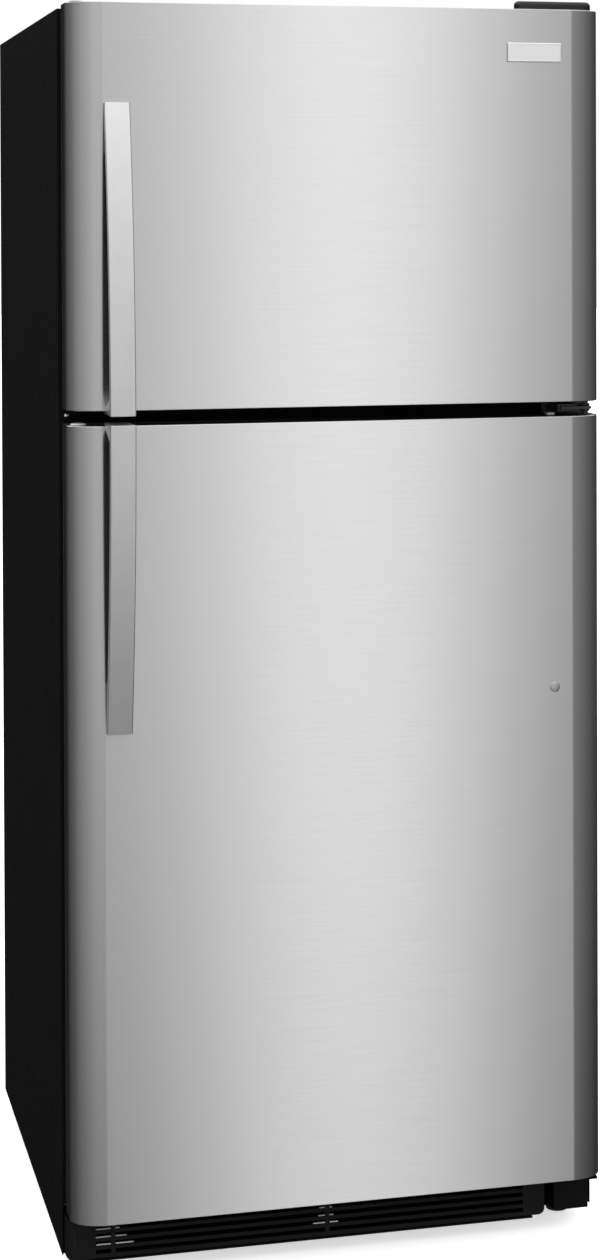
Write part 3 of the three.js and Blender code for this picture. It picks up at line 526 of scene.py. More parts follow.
def door_plugs():
    """Blanking plugs where the hinges and handles go when the doors are hung from the other side."""
    pin_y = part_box("center_hinge")[0][1] + 11 * MM
    for name, finish in (("freezer", "black_plastic"), ("fridge", "white_liner")):
        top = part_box(f"{name}_door_top_cap")[1][2]
        bm = bmesh.new()
        button(bm, (-0.363, pin_y, top), 11 * MM, 2.6 * MM)
        piece_from(bm, f"{name}_door_top_plug", f"{name}_door", FINISH[finish])
    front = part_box("fridge_door_skin")[0][1]
    bm = bmesh.new()
    button(bm, (0, 0, 0), 7.0 * MM, 1.5 * MM)
    turn = Matrix.Rotation(math.pi / 2, 4, "X")
    bmesh.ops.transform(bm, matrix=Matrix.Translation((0.3065, front, 0.790)) @ turn, verts=bm.verts)
    piece_from(bm, "fridge_door_front_plug", "fridge_door", PLUG_METAL)


def stop_pad():
    """A white pad on the fridge door's top edge, beside the hinge."""
    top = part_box("fridge_door_top_cap")[1][2]
    bm = bmesh.new()
    soft_box(bm, (0.3080, -0.334, top - 0.5 * MM), (0.3190, -0.322, top + 3.0 * MM), 0.8 * MM, 2)
    piece_from(bm, "fridge_door_stop_pad", "fridge_door", FINISH["white_liner"])


def badge():
    """A blank plate with a raised border round a slightly sunk panel."""
    low, high = (Vector(corner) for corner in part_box("badge"))
    bm = bmesh.new()
    soft_box(bm, low, high, 1.1 * MM, 3)
    front = max((f for f in bm.faces if f.normal.y < -0.99), key=lambda f: f.calc_area())
    bmesh.ops.inset_region(bm, faces=[front], thickness=0.9 * MM)
    bmesh.ops.inset_region(bm, faces=[front], thickness=0.5 * MM, depth=-0.45 * MM)
    piece_from(bm, "badge_plate", "freezer_door", FINISH["badge_plate"], ["badge"], 30.0)


def hinge_cover():
    """A thin moulded cap with a generous radius round its top edge."""
    low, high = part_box("top_hinge_cover")
    corners = ((0.267, -0.339, 180), (0.362, -0.339, 270), (0.362, -0.226, 0), (0.304, -0.226, 90))

    def plan(inset, height):
        ring = []
        for x, y, start in corners:
            ring += [(u, v, height) for u, v in arc((x, y), 9 * MM - inset, start, start + 90, 8)]
        return ring

    turn = 6.0 * MM
    over_door = low[2] + 5.0 * MM
    rings = [plan(0.0, low[2]), plan(0.0, over_door), plan(0.0, high[2] - turn)]
    for i in range(1, 7):
        angle = math.radians(15 * i)
        rings.append(plan(turn * (1 - math.cos(angle)), high[2] - turn * (1 - math.sin(angle))))
    wall = 1.4 * MM
    rings += [plan(turn, high[2] - wall), plan(wall + 2 * MM, high[2] - wall - 1.5 * MM), plan(wall, low[2] + 6 * MM)]
    rings.append(plan(wall, low[2]))
    bm = bmesh.new()
    loops = [[bm.verts.new(point) for point in ring] for ring in rings]
    count = len(loops[0])
    for here, there in zip(loops, loops[1:] + loops[:1]):
        if here is loops[8]:
            continue
        for i in range(count):
            j = (i + 1) % count
            bm.faces.new((here[i], here[j], there[j], there[i]))
    bm.faces.new(loops[8])
    bm.faces.new(loops[9])
    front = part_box("cabinet_wrapper")[0][1] - 3 * MM
    for loop in (loops[0], loops[-1]):
        for vert in loop:
            if vert.co.y < front:
                vert.co.z = over_door - 0.1 * MM
    piece_from(
        bm, "top_hinge_cover_moulding", "cabinet", FINISH["gloss_black"], ["top_hinge_cover"], 40.0,
    )


# ---------------------------------------------------------------- small fixings

def screw(name, place, axis, body, radius=4.0 * MM):
    """A pan-head screw with a round recess; the axis letter is the way the head faces, -y or +y or +z."""
    bm = bmesh.new()
    r = radius
    lathe(bm, [(0, -0.5 * r), (0.45 * r, -0.5 * r), (r, 0), (r, 0.16 * r), (0.85 * r, 0.38 * r), (0.5 * r, 0.5 * r),
               (0.16 * r, 0.52 * r), (0.12 * r, 0.2 * r), (0, 0.16 * r)], (0, 0, 0), "z", 24)
    turn = {"-y": Matrix.Rotation(math.pi / 2, 4, "X"), "+y": Matrix.Rotation(-math.pi / 2, 4, "X"),
            "+z": Matrix.Identity(4)}[axis]
    bmesh.ops.transform(bm, matrix=Matrix.Translation(place) @ turn, verts=bm.verts)
    piece_from(bm, name, body, CHROME)


# ---------------------------------------------------------------- inside the compartments

def ring_frame(bm, low, high, profile):
    """A mitred frame round a level rectangle, from its section as (inset, height)."""
    corners = ((low.x, low.y, 1, 1), (high.x, low.y, -1, 1), (high.x, high.y, -1, -1), (low.x, high.y, 1, -1))
    rings = [[(x + sx * inset, y + sy * inset, z) for inset, z in profile] for x, y, sx, sy in corners]
    sweep(bm, rings, closed_path=True)


def glass_shelf(node):
    """A clear pane with polished edges, held in a white moulded rim."""
    low, high = (Vector(corner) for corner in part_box(node))
    rim = 14 * MM
    radius = 2.2 * MM
    profile = (
        arc((radius, low.z + radius), radius, 180, 270, 4)
        + arc((rim - 1 * MM, low.z + 1 * MM), 1 * MM, 270, 360, 3)
        + arc((rim - 1 * MM, high.z - 3.2 * MM), 1 * MM, 0, 90, 3)
        + arc((rim - 6 * MM, high.z - radius), radius, 0, 90, 4)
        + arc((radius, high.z - radius), radius, 90, 180, 4)
    )
    bm = bmesh.new()
    ring_frame(bm, low, high, profile)
    piece_from(bm, f"{node}_rim", "cabinet", FINISH["white_liner"], [node], 50.0)
    inset = Vector((rim - 1 * MM, rim - 1 * MM, 0))
    bm = bmesh.new()
    pane_low = Vector((low.x, low.y, low.z + 3.4 * MM)) + inset
    pane_high = Vector((high.x, high.y, low.z + 7.4 * MM)) - inset
    soft_box(bm, pane_low, pane_high, 0.7 * MM, 2)
    piece_from(bm, f"{node}_pane", "cabinet", FINISH["shelf_glass"], (), 50.0)


def fluted_knob(node):
    """A dial with a fluted edge, a grip across its face and a white pointer."""
    low, high = (Vector(corner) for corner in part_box(node))
    x, z = (low.x + high.x) / 2, (low.z + high.z) / 2
    front = low.y
    steps = 96
    bm = bmesh.new()
    rings = []
    for depth, radius, flute in ((5.2, 13.6, 0.0), (6.0, 14.4, 0.25), (7.0, 14.9, 0.45), (12.4, 14.9, 0.45), (13.0, 14.2, 0.0)):
        ring = []
        for i in range(steps):
            angle = 2 * math.pi * i / steps
            r = (radius - flute * (1 + math.cos(24 * angle)) / 2) * MM
            ring.append((x + r * math.cos(angle), front + depth * MM, z + r * math.sin(angle)))
        rings.append(ring)
    sweep(bm, rings)
    soft_box(bm, (x - 3 * MM, front, z - 12.6 * MM), (x + 3 * MM, front + 6 * MM, z + 12.6 * MM), 1.3 * MM, 3)
    lathe(bm, [(0, 0), (3.2 * MM, 0), (3.4 * MM, 0.4 * MM), (3.4 * MM, high.y - front - 13 * MM), (0, high.y - front - 13 * MM)],
          (x, front + 13 * MM, z), "y", 24)
    piece_from(bm, f"{node}_dial", node, FINISH["grey_plastic"], [node], 40.0)
    bm = bmesh.new()
    soft_box(
        bm, (x - 0.6 * MM, front - 0.15 * MM, z + 3 * MM), (x + 0.6 * MM, front + 0.5 * MM, z + 11.6 * MM), 0.14 * MM, 1,
    )
    piece_from(bm, f"{node}_pointer", node, FINISH["white_liner"])


def lamp(node):
    """A frosted lamp with a threaded metal base."""
    low, high = (Vector(corner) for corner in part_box(node))
    x, y = (low.x + high.x) / 2, (low.y + high.y) / 2
    radius = (high.x - low.x) / 2
    base = 10.6 * MM
    neck = high.z - 22 * MM
    bulb = [(0.0, low.z)]
    for i in range(1, 17):
        angle = math.radians(-90 + 8.6 * i)
        bulb.append((radius * math.cos(angle), low.z + radius * 1.13 * (1 + math.sin(angle))))
    bulb += [(0.62 * radius, neck - 7 * MM), (0.5 * radius, neck - 2 * MM), (base, neck), (0.0, neck + 1 * MM)]
    bm = bmesh.new()
    lathe(bm, bulb, (x, y, 0), "z", 48)
    piece_from(bm, "light_bulb_glass", "cabinet", FINISH["bulb"], [node], 60.0)
    base_profile = [(0.0, neck + 0.3 * MM)]
    for i in range(25):
        ridge = 0.5 * MM * math.sin(2 * math.pi * i / 6)
        base_profile.append((base - 0.5 * MM + ridge, neck + (0.5 + 0.75 * i) * MM))
    base_profile += [(0.45 * base, high.z - 0.6 * MM), (0.0, high.z)]
    bm = bmesh.new()
    lathe(bm, base_profile, (x, y, 0), "z", 40)
    piece_from(bm, "light_bulb_base", "cabinet", CHROME, (), 60.0)


# ---------------------------------------------------------------- tubes, fins and fans

def tube_along(bm, points, radius, sides=12):
    """A round tube along points, with its section turned as little as possible on the way."""
    points = [Vector(point) for point in points]
    rings = []
    across = None
    for i, point in enumerate(points):
        ahead = (points[min(i + 1, len(points) - 1)] - points[max(i - 1, 0)]).normalized()
        if across is None:
            across = ahead.orthogonal().normalized()
        across = (across - ahead * across.dot(ahead)).normalized()
        other = ahead.cross(across)
        rings.append([
            point + (across * math.cos(a) + other * math.sin(a)) * radius
            for a in (2 * math.pi * k / sides for k in range(sides))
        ])
    sweep(bm, rings)


def serpent(x, y_of, z_of, rows, bend_steps=8):
    """Points of a tube that runs level from end to end and turns up in half circles."""
    points = []
    for row in range(rows):
        z = z_of(row)
        ends = x if row % 2 == 0 else (x[1], x[0])
        points += [(ends[0] + (ends[1] - ends[0]) * i / 6, y_of(row), z) for i in range(7)]
        if row == rows - 1:
            break
        half = (z_of(row + 1) - z) / 2
        way = 1 if ends[1] > ends[0] else -1
        for i in range(1, bend_steps):
            angle = math.pi * i / bend_steps
            y = y_of(row) + (y_of(row + 1) - y_of(row)) * i / bend_steps
            points.append((ends[1] + way * half * math.sin(angle), y, z + half * (1 - math.cos(angle))))
    return points


def evaporator():
    """Thin fins on two ranks of tube."""
    low, high = (Vector(corner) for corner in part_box("evaporator_coil"))
    bm = bmesh.new()
    fins = 64
    reach = 34 * MM
    for i in range(fins):
        x = low.x + reach + (high.x - low.x - 2 * reach) * i / (fins - 1)
        soft_box(bm, (x - 0.2 * MM, low.y, low.z), (x + 0.2 * MM, high.y, high.z), 0.05 * MM, 1)
    for x in (low.x + reach - 3 * MM, high.x - reach + 3 * MM):
        soft_box(bm, (x - 0.8 * MM, low.y, low.z), (x + 0.8 * MM, high.y, high.z), 0.2 * MM, 1)
    piece_from(
        bm, "evaporator_fins", "cabinet", FINISH["aluminium"], ["evaporator_coil"], 30.0,
    )
    bm = bmesh.new()
    rows = 6
    pitch = (high.z - low.z - 50 * MM) / (rows - 1)
    for y in (low.y + 15 * MM, low.y + 39 * MM):
        points = serpent(
            (low.x + 28 * MM, high.x - 28 * MM), lambda row: y, lambda row: low.z + 25 * MM + pitch * row, rows,
        )
        tube_along(bm, points, 4.0 * MM)
    piece_from(bm, "evaporator_tubes", "cabinet", FINISH["aluminium"], (), 60.0)


def condenser():
    """A serpent of copper tube with thin painted wires welded to both sides, between two side plates."""
    low, high = (Vector(corner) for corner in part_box("condenser_coil"))
    rows = 6
    y = (low.y + high.y) / 2
    radius = 4.0 * MM
    tube_low, tube_high = 60 * MM, 235 * MM
    pitch = (tube_high - tube_low) / (rows - 1)
    ends = (70 * MM + pitch / 2, 340 * MM - pitch / 2)
    bm = bmesh.new()
    tube_along(bm, serpent(ends, lambda row: y, lambda row: tube_low + pitch * row, rows), radius)
    piece_from(bm, "condenser_tube", "cabinet", FINISH["copper"], ["condenser_coil"], 60.0)
    bm = bmesh.new()
    wires = 34
    for i in range(wires):
        x = ends[0] + (ends[1] - ends[0]) * i / (wires - 1)
        for side in (-1, 1):
            at = y + side * (radius + 0.6 * MM)
            tube_along(bm, [(x, at, tube_low - 4 * MM), (x, at, tube_high + 4 * MM)], 0.75 * MM, 8)
    piece_from(bm, "condenser_wires", "cabinet", FINISH["black_paint"], (), 60.0)
    bm = bmesh.new()
    for x in (115 * MM, 295 * MM):
        soft_box(bm, (x - 1 * MM, low.y, low.z), (x + 1 * MM, high.y, high.z), 0.4 * MM, 2)
    piece_from(bm, "condenser_side_plates", "cabinet", FINISH["galvanised"], (), 40.0)


def fan_wheel(node, axis, hub_radius, blades, finish):
    """A hub with broad twisted blades that thin towards their edges; the axis is y or x."""
    low, high = (Vector(corner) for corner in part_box(node))
    centre = (low + high) / 2
    radius = (high.z - low.z) / 2
    front = -8 * MM
    bm = bmesh.new()
    for number in range(blades):
        rings = []
        for i in range(9):
            share = i / 8
            r = hub_radius - 2 * MM + (radius - hub_radius + 1 * MM) * share
            chord = radius * (0.30 + 0.16 * math.sin(math.pi * min(1.0, 0.15 + 0.75 * share)))
            pitch = math.radians(38 - 16 * share)
            ring = []
            for u, side in [(k / 6, 1) for k in range(7)] + [(1 - k / 6, -1) for k in range(1, 6)]:
                along = (u - 0.5) * 2 * chord * 0.62
                camber = 2.2 * MM * (1 - (2 * u - 1) ** 2)
                thick = 0.7 * MM * math.sqrt(max(0.02, 1 - (2 * u - 1) ** 2)) * side
                lift = camber + thick
                depth = along * math.sin(pitch) + lift * math.cos(pitch)
                swept = along * math.cos(pitch) - lift * math.sin(pitch)
                turn = 2 * math.pi * number / blades + swept / max(r, 8 * MM)
                ring.append((r * math.sin(turn), max(-7.6 * MM, min(7.6 * MM, depth)), r * math.cos(turn)))
            rings.append(ring)
        sweep(bm, rings)
    profile = [(0, front)] + arc((hub_radius - 3 * MM, front + 3 * MM), 3 * MM, 270, 360, 4)
    profile = [(0, front)] + [(u, v) for u, v in profile[1:]] + [(hub_radius, 7.4 * MM), (hub_radius - 0.6 * MM, 8 * MM)]
    profile += [(3.4 * MM, 8 * MM), (3.0 * MM, 8.4 * MM), (3.0 * MM, 13.4 * MM), (0, 13.4 * MM)]
    lathe(bm, profile, (0, 0, 0), "y", 40)
    turn = Matrix.Rotation(-math.pi / 2, 4, "Z") if axis == "x" else Matrix.Identity(4)
    first = low.x if axis == "x" else low.y
    place = Vector((first + 8 * MM, centre.y, centre.z)) if axis == "x" else Vector((centre.x, first + 8 * MM, centre.z))
    bmesh.ops.transform(bm, matrix=Matrix.Translation(place) @ turn, verts=bm.verts)
    piece_from(bm, f"{node}_wheel", node, FINISH[finish], [node], 50.0)


def compressor():
    """A welded steel shell on a plate with rubber feet, a terminal cover and three tube stubs."""
    low, high = (Vector(corner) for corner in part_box("compressor"))
    x, y, r = -170 * MM, 305 * MM, 78 * MM
    bottom = 38 * MM
    profile = [(0, bottom)] + arc((r - 26 * MM, bottom + 26 * MM), 26 * MM, 270, 360, 8)
    profile += [(r, 117 * MM), (r + 2.6 * MM, 119 * MM), (r + 3 * MM, 122.5 * MM), (r + 2.6 * MM, 126 * MM), (r, 128 * MM)]
    for i in range(1, 16):
        angle = math.radians(6 * i)
        profile.append((r * math.cos(angle) ** 0.8, 134 * MM + (high.z - 134 * MM) * math.sin(angle)))
    profile[-1] = (0, high.z)
    bm = bmesh.new()
    lathe(bm, profile, (x, y, 0), "z", 64)
    soft_box(bm, (x - 95 * MM, y - 50 * MM, bottom - 3 * MM), (x + 95 * MM, y + 50 * MM, bottom + 2 * MM), 1.2 * MM, 2)
    piece_from(bm, "compressor_shell", "cabinet", FINISH["black_paint"], ["compressor"], 35.0)
    bm = bmesh.new()
    soft_box(bm, (x + r - 10 * MM, y - 28 * MM, 70 * MM), (x + r + 22 * MM, y + 28 * MM, 130 * MM), 4 * MM, 4)
    foot_low = low.z
    for dx in (-80 * MM, 80 * MM):
        for dy in (-36 * MM, 36 * MM):
            foot = [(0, foot_low), (12 * MM, foot_low), (12 * MM, foot_low + 3 * MM), (9 * MM, foot_low + 5 * MM),
                    (12 * MM, foot_low + 7 * MM), (12 * MM, bottom - 3.2 * MM), (0, bottom - 3.2 * MM)]
            lathe(bm, foot, (x + dx, y + dy, 0), "z", 32)
    piece_from(bm, "compressor_feet_and_cover", "cabinet", FINISH["black_plastic"], (), 35.0)
    bm = bmesh.new()
    for dy, height in ((-40 * MM, 150 * MM), (-18 * MM, 162 * MM), (42 * MM, 146 * MM)):
        stub = [(x + 52 * MM, y + dy, height), (x + 70 * MM, y + dy, height), (x + 78 * MM, y + dy, height + 4 * MM),
                (x + 81 * MM, y + dy, height + 12 * MM), (x + 81 * MM, y + dy, height + 34 * MM)]
        tube_along(bm, stub, 3.2 * MM)
    piece_from(bm, "compressor_tube_stubs", "cabinet", FINISH["copper"], (), 60.0)


# ---------------------------------------------------------------- feet and rollers

def leveling_leg(node):
    """A wide foot with a hexagon above it and a threaded stem."""
    low, high = (Vector(corner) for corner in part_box(node))
    x, y = (low.x + high.x) / 2, (low.y + high.y) / 2
    radius = (high.x - low.x) / 2
    profile = [(0, low.z), (radius - 2 * MM, low.z), (radius - 0.6 * MM, 0.6 * MM), (radius, 2 * MM), (radius, 6.4 * MM),
               (radius - 0.8 * MM, 7.4 * MM), (9 * MM, 9.6 * MM), (0, 9.8 * MM)]
    bm = bmesh.new()
    lathe(bm, profile, (x, y, 0), "z", 48)
    rings = []
    for size, height in ((7.6, 9.6), (8.0, 10.2), (8.0, 15.4), (7.6, 16.0)):
        rings.append([
            (x + size * MM * math.cos(a), y + size * MM * math.sin(a), height * MM)
            for a in (math.pi * k / 3 for k in range(6))
        ])
    sweep(bm, rings)
    piece_from(bm, f"{node}_foot", node, FINISH["black_plastic"], [node], 30.0)
    thread = [(0, 15.8 * MM)]
    turns = 33
    for i in range(turns):
        z = (16.2 + 1.48 * i) * MM
        thread += [(4.3 * MM, z), (4.95 * MM, z + 0.74 * MM)]
    thread += [(4.3 * MM, high.z - 0.4 * MM), (0, high.z)]
    bm = bmesh.new()
    lathe(bm, thread, (x, y, 0), "z", 28)
    piece_from(bm, f"{node}_thread", node, FINISH["galvanised"], (), 70.0)


def roller(node):
    """A wheel with a soft tread, a dished hub and its axle."""
    low, high = (Vector(corner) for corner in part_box(node))
    centre = (low + high) / 2
    radius = (high.z - low.z) / 2
    half = 9 * MM
    profile = [(0, -half + 2 * MM), (9 * MM, -half + 2 * MM), (10 * MM, -half + 0.4 * MM), (11 * MM, -half), (radius - 2 * MM, -half)]
    profile += arc((radius - 2 * MM, -half + 2 * MM), 2 * MM, 290, 360, 4)
    profile += [(u, -v) for u, v in reversed(profile)]
    bm = bmesh.new()
    lathe(bm, profile, centre, "x", 56)
    piece_from(bm, f"{node}_wheel", node, FINISH["black_plastic"], [node], 35.0)
    bm = bmesh.new()
    reach = (high.x - low.x) / 2
    axle = [(0, -reach), (3.4 * MM, -reach), (4 * MM, -reach + 0.6 * MM), (4 * MM, reach - 0.6 * MM), (3.4 * MM, reach), (0, reach)]
    lathe(bm, axle, centre, "x", 28)
    piece_from(bm, f"{node}_axle", node, CHROME, (), 40.0)


def washer(name, place, inner, outer, thickness):
    """A nylon washer that lies on a hinge plate."""
    bm = bmesh.new()
    steps = 40
    soft = 0.3 * MM
    section = ((inner, 0), (outer - soft, 0), (outer, soft), (outer, thickness - soft), (outer - soft, thickness),
               (inner, thickness))
    rings = []
    for i in range(steps):
        angle = 2 * math.pi * i / steps
        rings.append([(place[0] + r * math.cos(angle), place[1] + r * math.sin(angle), place[2] + h) for r, h in section])
    sweep(bm, rings, closed_path=True)
    piece_from(bm, name, "cabinet", FINISH["black_plastic"], (), 40.0)


# Pale bars on the toe grille's louvres, beside its posts, as painted highlights for glints of light on the slats:
# height -> spans along X, in millimetres.
GRILLE_PAINTED_GLINTS = {
    67.5: ((-345, -322), (-316, -310), (-28, -20), (-14, -10)),
    56.6: ((-345, -322), (-316, -300), (-30, -20), (-14, -8)),
    46.4: ((-342, -322), (-316, -291), (-37, -20), (-14, -1)),
}


def grille_painted_glints():
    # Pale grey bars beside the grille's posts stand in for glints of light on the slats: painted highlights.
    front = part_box("toe_grille")[0][1]
    bm = bmesh.new()
    for height, spans in GRILLE_PAINTED_GLINTS.items():
        for left, right in spans:
            low = (left * MM, front + 1.0 * MM, (height - 0.7) * MM)
            high = (right * MM, front + 3.2 * MM, (height + 0.7) * MM)
            soft_box(bm, low, high, 0.3 * MM, 1)
    piece_from(bm, "toe_grille_painted_glints", "cabinet", FINISH["grey_plastic"], (), 40.0)


def fan_guard():
    """Rings and spokes across the fan's opening in the evaporator cover."""
    fan = [Vector(corner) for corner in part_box("evaporator_fan")]
    centre = (fan[0] + fan[1]) / 2
    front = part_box("evaporator_cover")[0][1] + 1.4 * MM
    bm = bmesh.new()
    for radius in (15, 24, 33, 42):
        rings = []
        for i in range(48):
            turn = 2 * math.pi * i / 48
            outward = Vector((math.cos(turn), 0, math.sin(turn)))
            middle = Vector((centre.x, front, centre.z)) + outward * radius * MM
            rings.append([
                middle + outward * u + Vector((0, v, 0)) for u, v in arc((0, 0), 1.1 * MM, 0, 315, 7)
            ])
        sweep(bm, rings, closed_path=True)
    for i in range(8):
        turn = Matrix.Rotation(math.pi * i / 4, 4, "Y")
        spoke = bmesh.new()
        soft_box(spoke, (-0.9 * MM, -0.9 * MM, 14 * MM), (0.9 * MM, 0.9 * MM, 49.5 * MM), 0.3 * MM, 1)
        bmesh.ops.transform(spoke, matrix=Matrix.Translation((centre.x, front, centre.z)) @ turn, verts=spoke.verts)
        part = bpy.data.meshes.new("spoke")
        spoke.to_mesh(part)
        spoke.free()
        bm.from_mesh(part)
        bpy.data.meshes.remove(part)
    piece_from(bm, "evaporator_fan_guard", "cabinet", FINISH["white_liner"], (), 40.0)


def fixings():
    """Screws of the rear panel and the machine cover, one in the unused hinge holes at the left, and the centre
    hinge's washers.
    """
    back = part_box("rear_panel")[0][1] + 2.5 * MM
    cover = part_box("machine_cover")[1][1]
    for side, word in ((-1, "left"), (1, "right")):
        for i, z in enumerate((0.310, 0.640, 0.980, 1.330, 1.690)):
            screw(f"rear_screw_{word}_{i}", (side * 0.372, back, z), "+y", "cabinet")
        for i, z in enumerate((0.052, 0.272)):
            screw(f"cover_screw_{word}_{i}", (side * 0.362, cover - 1.6 * MM, z), "+y", "cabinet", 3.2 * MM)
    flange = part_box("cabinet_wrapper")[0][1]
    gap = (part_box("freezer_door_skin")[0][2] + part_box("fridge_door_skin")[1][2]) / 2
    screw("reversing_screw", (-0.373, flange - 0.3 * MM, gap), "-y", "cabinet", 3.6 * MM)
    pin = (0.363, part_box("center_hinge")[0][1] + 11 * MM)
    washer("center_hinge_upper_washer", (pin[0], pin[1], gap + 2.3 * MM), 4.3 * MM, 7 * MM, 3.0 * MM)
    washer("center_hinge_lower_washer", (pin[0], pin[1], gap - 5.3 * MM), 4.3 * MM, 7 * MM, 3.0 * MM)


def compartment_sheets():
    """Sheets that close the foam towards the toe space and the machine compartment."""
    low, high = (Vector(corner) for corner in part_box("foam_insulation"))
    half = high.x - 1 * MM
    under = low.z - 1.5 * MM
    step = 0.2034
    roof = 0.2868
    thick = 1.1 * MM
    bm = bmesh.new()
    soft_box(bm, (-half, low.y + 1 * MM, under), (half, step, under + thick), 0.3 * MM, 1)
    soft_box(bm, (-half, step, under), (half, step + thick, roof), 0.3 * MM, 1)
    soft_box(bm, (-half, step, roof - thick), (half, high.y - 1 * MM, roof), 0.3 * MM, 1)
    piece_from(bm, "compartment_sheets", "cabinet", FINISH["galvanised"], (), 30.0)


# ---------------------------------------------------------------- light and stage

def smooth_step(tree, value, low, high):
    node = tree.nodes.new("ShaderNodeMapRange")
    node.interpolation_type = "SMOOTHSTEP"
    node.inputs["From Min"].default_value = low
    node.inputs["From Max"].default_value = high
    tree.links.new(value, node.inputs["Value"])
    return node.outputs["Result"]


def calculate(tree, operation, first, second=None):
    node = tree.nodes.new("ShaderNodeMath")
    node.operation = operation
    for socket, value in zip(node.inputs, (first, second)):
        if value is None:
            continue
        if isinstance(value, (int, float)):
            socket.default_value = value
        else:
            tree.links.new(value, socket)
    return node.outputs["Value"]


# How bright the studio is all round at eye level: (degrees to the right of the front, brightness).
SURROUND = (
    (-180, 0.02), (-163, 0.02), (-140, 0.07), (-92, 0.16), (-46, 0.40), (-12, 0.60), (4, 0.60), (10, 0.48), (20, 0.29),
    (38, 0.24), (65, 0.15), (92, 0.09), (140, 0.03), (165, 0.02), (180, 0.02),
)
STREAK = {"azimuth": 14.3, "strength": 1.1, "edge": 5.8}
CEILING = 1.0
REAR = 0.8


def surround_at(tree, azimuth):
    """The brightness at an azimuth in degrees, from the stops of SURROUND."""
    ramp = tree.nodes.new("ShaderNodeValToRGB")
    stops = ramp.color_ramp.elements
    while len(stops) < len(SURROUND):
        stops.new(0.5)
    for stop, (degrees, value) in zip(stops, SURROUND):
        stop.position = (degrees + 180) / 360
        stop.color = (value, value, value, 1.0)
    spread = calculate(tree, "ADD", calculate(tree, "DIVIDE", azimuth, 360), 0.5)
    tree.links.new(spread, ramp.inputs["Fac"])
    return ramp.outputs["Color"]


def background(tree, strength):
    node = tree.nodes.new("ShaderNodeBackground")
    node.inputs["Color"].default_value = (1.0, 1.0, 1.0, 1.0)
    if isinstance(strength, float):
        node.inputs["Strength"].default_value = strength
    else:
        tree.links.new(strength, node.inputs["Strength"])
    return node.outputs["Background"]


def sunk(tree, value, z, share):
    """A light that loses a share of its strength from eye level down to the floor."""
    left = calculate(tree, "MULTIPLY", smooth_step(tree, z, -0.48, -0.14), share)
    return calculate(tree, "MULTIPLY", value, calculate(tree, "ADD", left, 1 - share))


def make_world():
    """A dim studio with one tall soft panel in front, a soft ceiling and a high light behind."""
    world = bpy.data.worlds.new("studio")
    bpy.context.scene.world = world
    world.use_nodes = True
    tree = world.node_tree
    tree.nodes.clear()
    direction = tree.nodes.new("ShaderNodeTexCoord").outputs["Generated"]
    split = tree.nodes.new("ShaderNodeSeparateXYZ")
    tree.links.new(direction, split.inputs["Vector"])
    x, y, z = split.outputs["X"], split.outputs["Y"], split.outputs["Z"]
    azimuth = calculate(tree, "MULTIPLY", calculate(tree, "ARCTAN2", x, calculate(tree, "MULTIPLY", y, -1)), 57.2958)
    off = calculate(tree, "ABSOLUTE", calculate(tree, "SUBTRACT", azimuth, STREAK["azimuth"]))
    streak = calculate(tree, "SUBTRACT", 1.0, smooth_step(tree, off, 0.0, STREAK["edge"]))
    streak = calculate(tree, "MULTIPLY", streak, STREAK["strength"])
    ceiling = calculate(tree, "MULTIPLY", smooth_step(tree, z, 0.15, 0.75), CEILING)
    high = calculate(tree, "MULTIPLY", smooth_step(tree, z, 0.25, 0.5), REAR)
    rear = calculate(tree, "MULTIPLY", smooth_step(tree, y, 0.1, 0.7), high)
    total = calculate(tree, "ADD", sunk(tree, surround_at(tree, azimuth), z, 0.85), streak)
    total = calculate(tree, "ADD", total, calculate(tree, "ADD", ceiling, rear))
    path = tree.nodes.new("ShaderNodeLightPath")
    mix = tree.nodes.new("ShaderNodeMixShader")
    tree.links.new(path.outputs["Is Camera Ray"], mix.inputs["Fac"])
    tree.links.new(background(tree, total), mix.inputs[1])
    tree.links.new(background(tree, 1.0), mix.inputs[2])
    output = tree.nodes.new("ShaderNodeOutputWorld")
    tree.links.new(mix.outputs["Shader"], output.inputs["Surface"])


def make_floor():
    """A pale floor that polished faces don't mirror."""
    bm = bmesh.new()
    bmesh.ops.create_grid(bm, x_segments=1, y_segments=1, size=40.0)
    mesh = bpy.data.meshes.new("floor")
    bm.to_mesh(mesh)
    bm.free()
    floor = bpy.data.objects.new("floor", mesh)
    floor.location.z = -0.0005
    bpy.context.scene.collection.objects.link(floor)
    shader = Shader("floor", (0.9, 0.9, 0.9), 0.9)
    shader.bsdf.inputs["Emission Color"].default_value = (1.0, 1.0, 1.0, 1.0)
    shader.bsdf.inputs["Emission Strength"].default_value = 0.62
    mesh.materials.append(shader.material)
    floor.visible_glossy = False


def area_light(name, place, target, size, power):
    data = bpy.data.lights.new(name, "AREA")
    data.shape = "RECTANGLE"
    data.size = size[0]
    data.size_y = size[1]
    data.energy = power
    light = bpy.data.objects.new(name, data)
    light.location = place
    light.rotation_euler = (Vector(target) - Vector(place)).to_track_quat("-Z", "Y").to_euler()
    light.visible_camera = False
    light.visible_glossy = False
    bpy.context.scene.collection.objects.link(light)


# ---------------------------------------------------------------- making it

make_camera()
bpy.context.scene.view_settings.view_transform = "Standard"
make_world()
make_floor()
area_light("fill_left", (-3.2, -3.0, 2.6), (0, 0, 0.9), (2.0, 2.5), 12)
area_light("fill_right", (3.4, -2.2, 2.4), (0, 0, 0.9), (2.0, 2.5), 35)
area_light("fill_rear", (1.6, 4.0, 2.6), (0, 0, 0.9), (2.5, 2.0), 60)

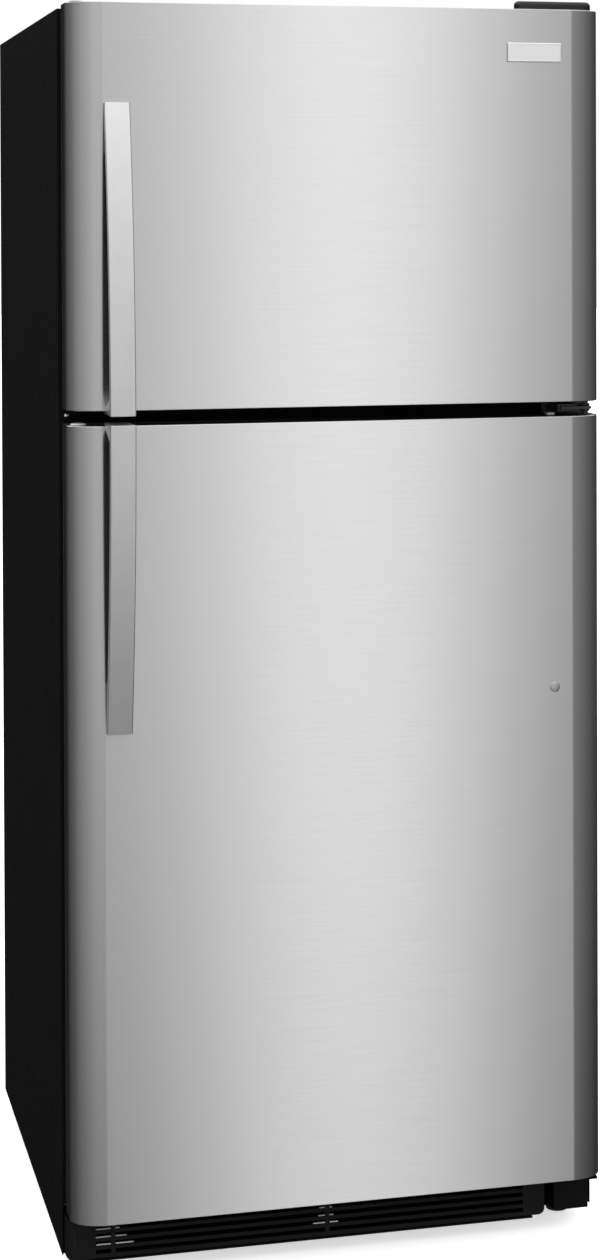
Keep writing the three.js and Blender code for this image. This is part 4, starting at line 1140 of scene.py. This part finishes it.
for door_name, way in (("freezer", 1), ("fridge", -1)):
    door_skin(door_name)
    door_handle(door_name, way)
door_plugs()
badge()
hinge_cover()
for shelf in ("freezer_shelf", "upper_shelf", "middle_shelf", "crisper_cover"):
    glass_shelf(shelf)
for side in ("left", "right"):
    leveling_leg(f"{side}_leveling_leg")
    roller(f"{side}_rear_roller")
fluted_knob("freezer_knob")
fluted_knob("fridge_knob")
lamp("light_bulb")
evaporator()
condenser()
compressor()
fan_wheel("evaporator_fan", "y", 12 * MM, 4, "grey_plastic")
fan_wheel("condenser_fan", "x", 14 * MM, 4, "black_plastic")
fixings()
fan_guard()
grille_painted_glints()
stop_pad()
compartment_sheets()

SOFT_EDGES = {
    "cabinet_wrapper": 1.2, "rear_panel": 0.5, "machine_cover": 0.6, "top_hinge": 0.6, 
    "center_hinge": 0.6, "lower_hinge": 0.7, "toe_grille": 0.8, "mullion_rail": 0.4,
    "freezer_liner": 5.0, "fridge_liner": 5.0, "drain_pan": 0.7, "base_pan": 0.5, "evaporator_cover": 0.7,
    "control_housing": 2.0, "dairy_bin": 1.2, "dairy_flap": 0.8, "left_crisper": 1.4, "right_crisper": 1.4,
    "left_humidity_slide": 0.8, "right_humidity_slide": 0.8, "light_switch_plunger": 0.5,
}
for door_name in ("freezer", "fridge"):
    SOFT_EDGES[f"{door_name}_door_frame"] = 1.0
    SOFT_EDGES[f"{door_name}_door_liner"] = 4.0
    SOFT_EDGES[f"{door_name}_door_gasket"] = 3.0
for node in ("freezer_lower_bin", "freezer_upper_bin", "fridge_lower_bin", "fridge_middle_bin"):
    SOFT_EDGES[node] = 1.4
# Here the grille's darker black is painted shade, and the lighter blacks of the centre hinge and the door frames are
# painted light.
OWN_FINISH = {
    "toe_grille": GRILLE_BLACK_PAINTED_SHADE, "center_hinge": HINGE_PAINTED_LIGHT,
    "freezer_door_frame": FRAME_BLACK_PAINTED_LIGHT, "fridge_door_frame": FRAME_BLACK_PAINTED_LIGHT,
}
for node, width_mm in SOFT_EDGES.items():
    soften(node, width_mm * MM, material=OWN_FINISH.get(node))

for node, piece in NODES.items():
    piece.data.materials.clear()
    piece.data.materials.append(FINISH[SLOT_OF[node]])
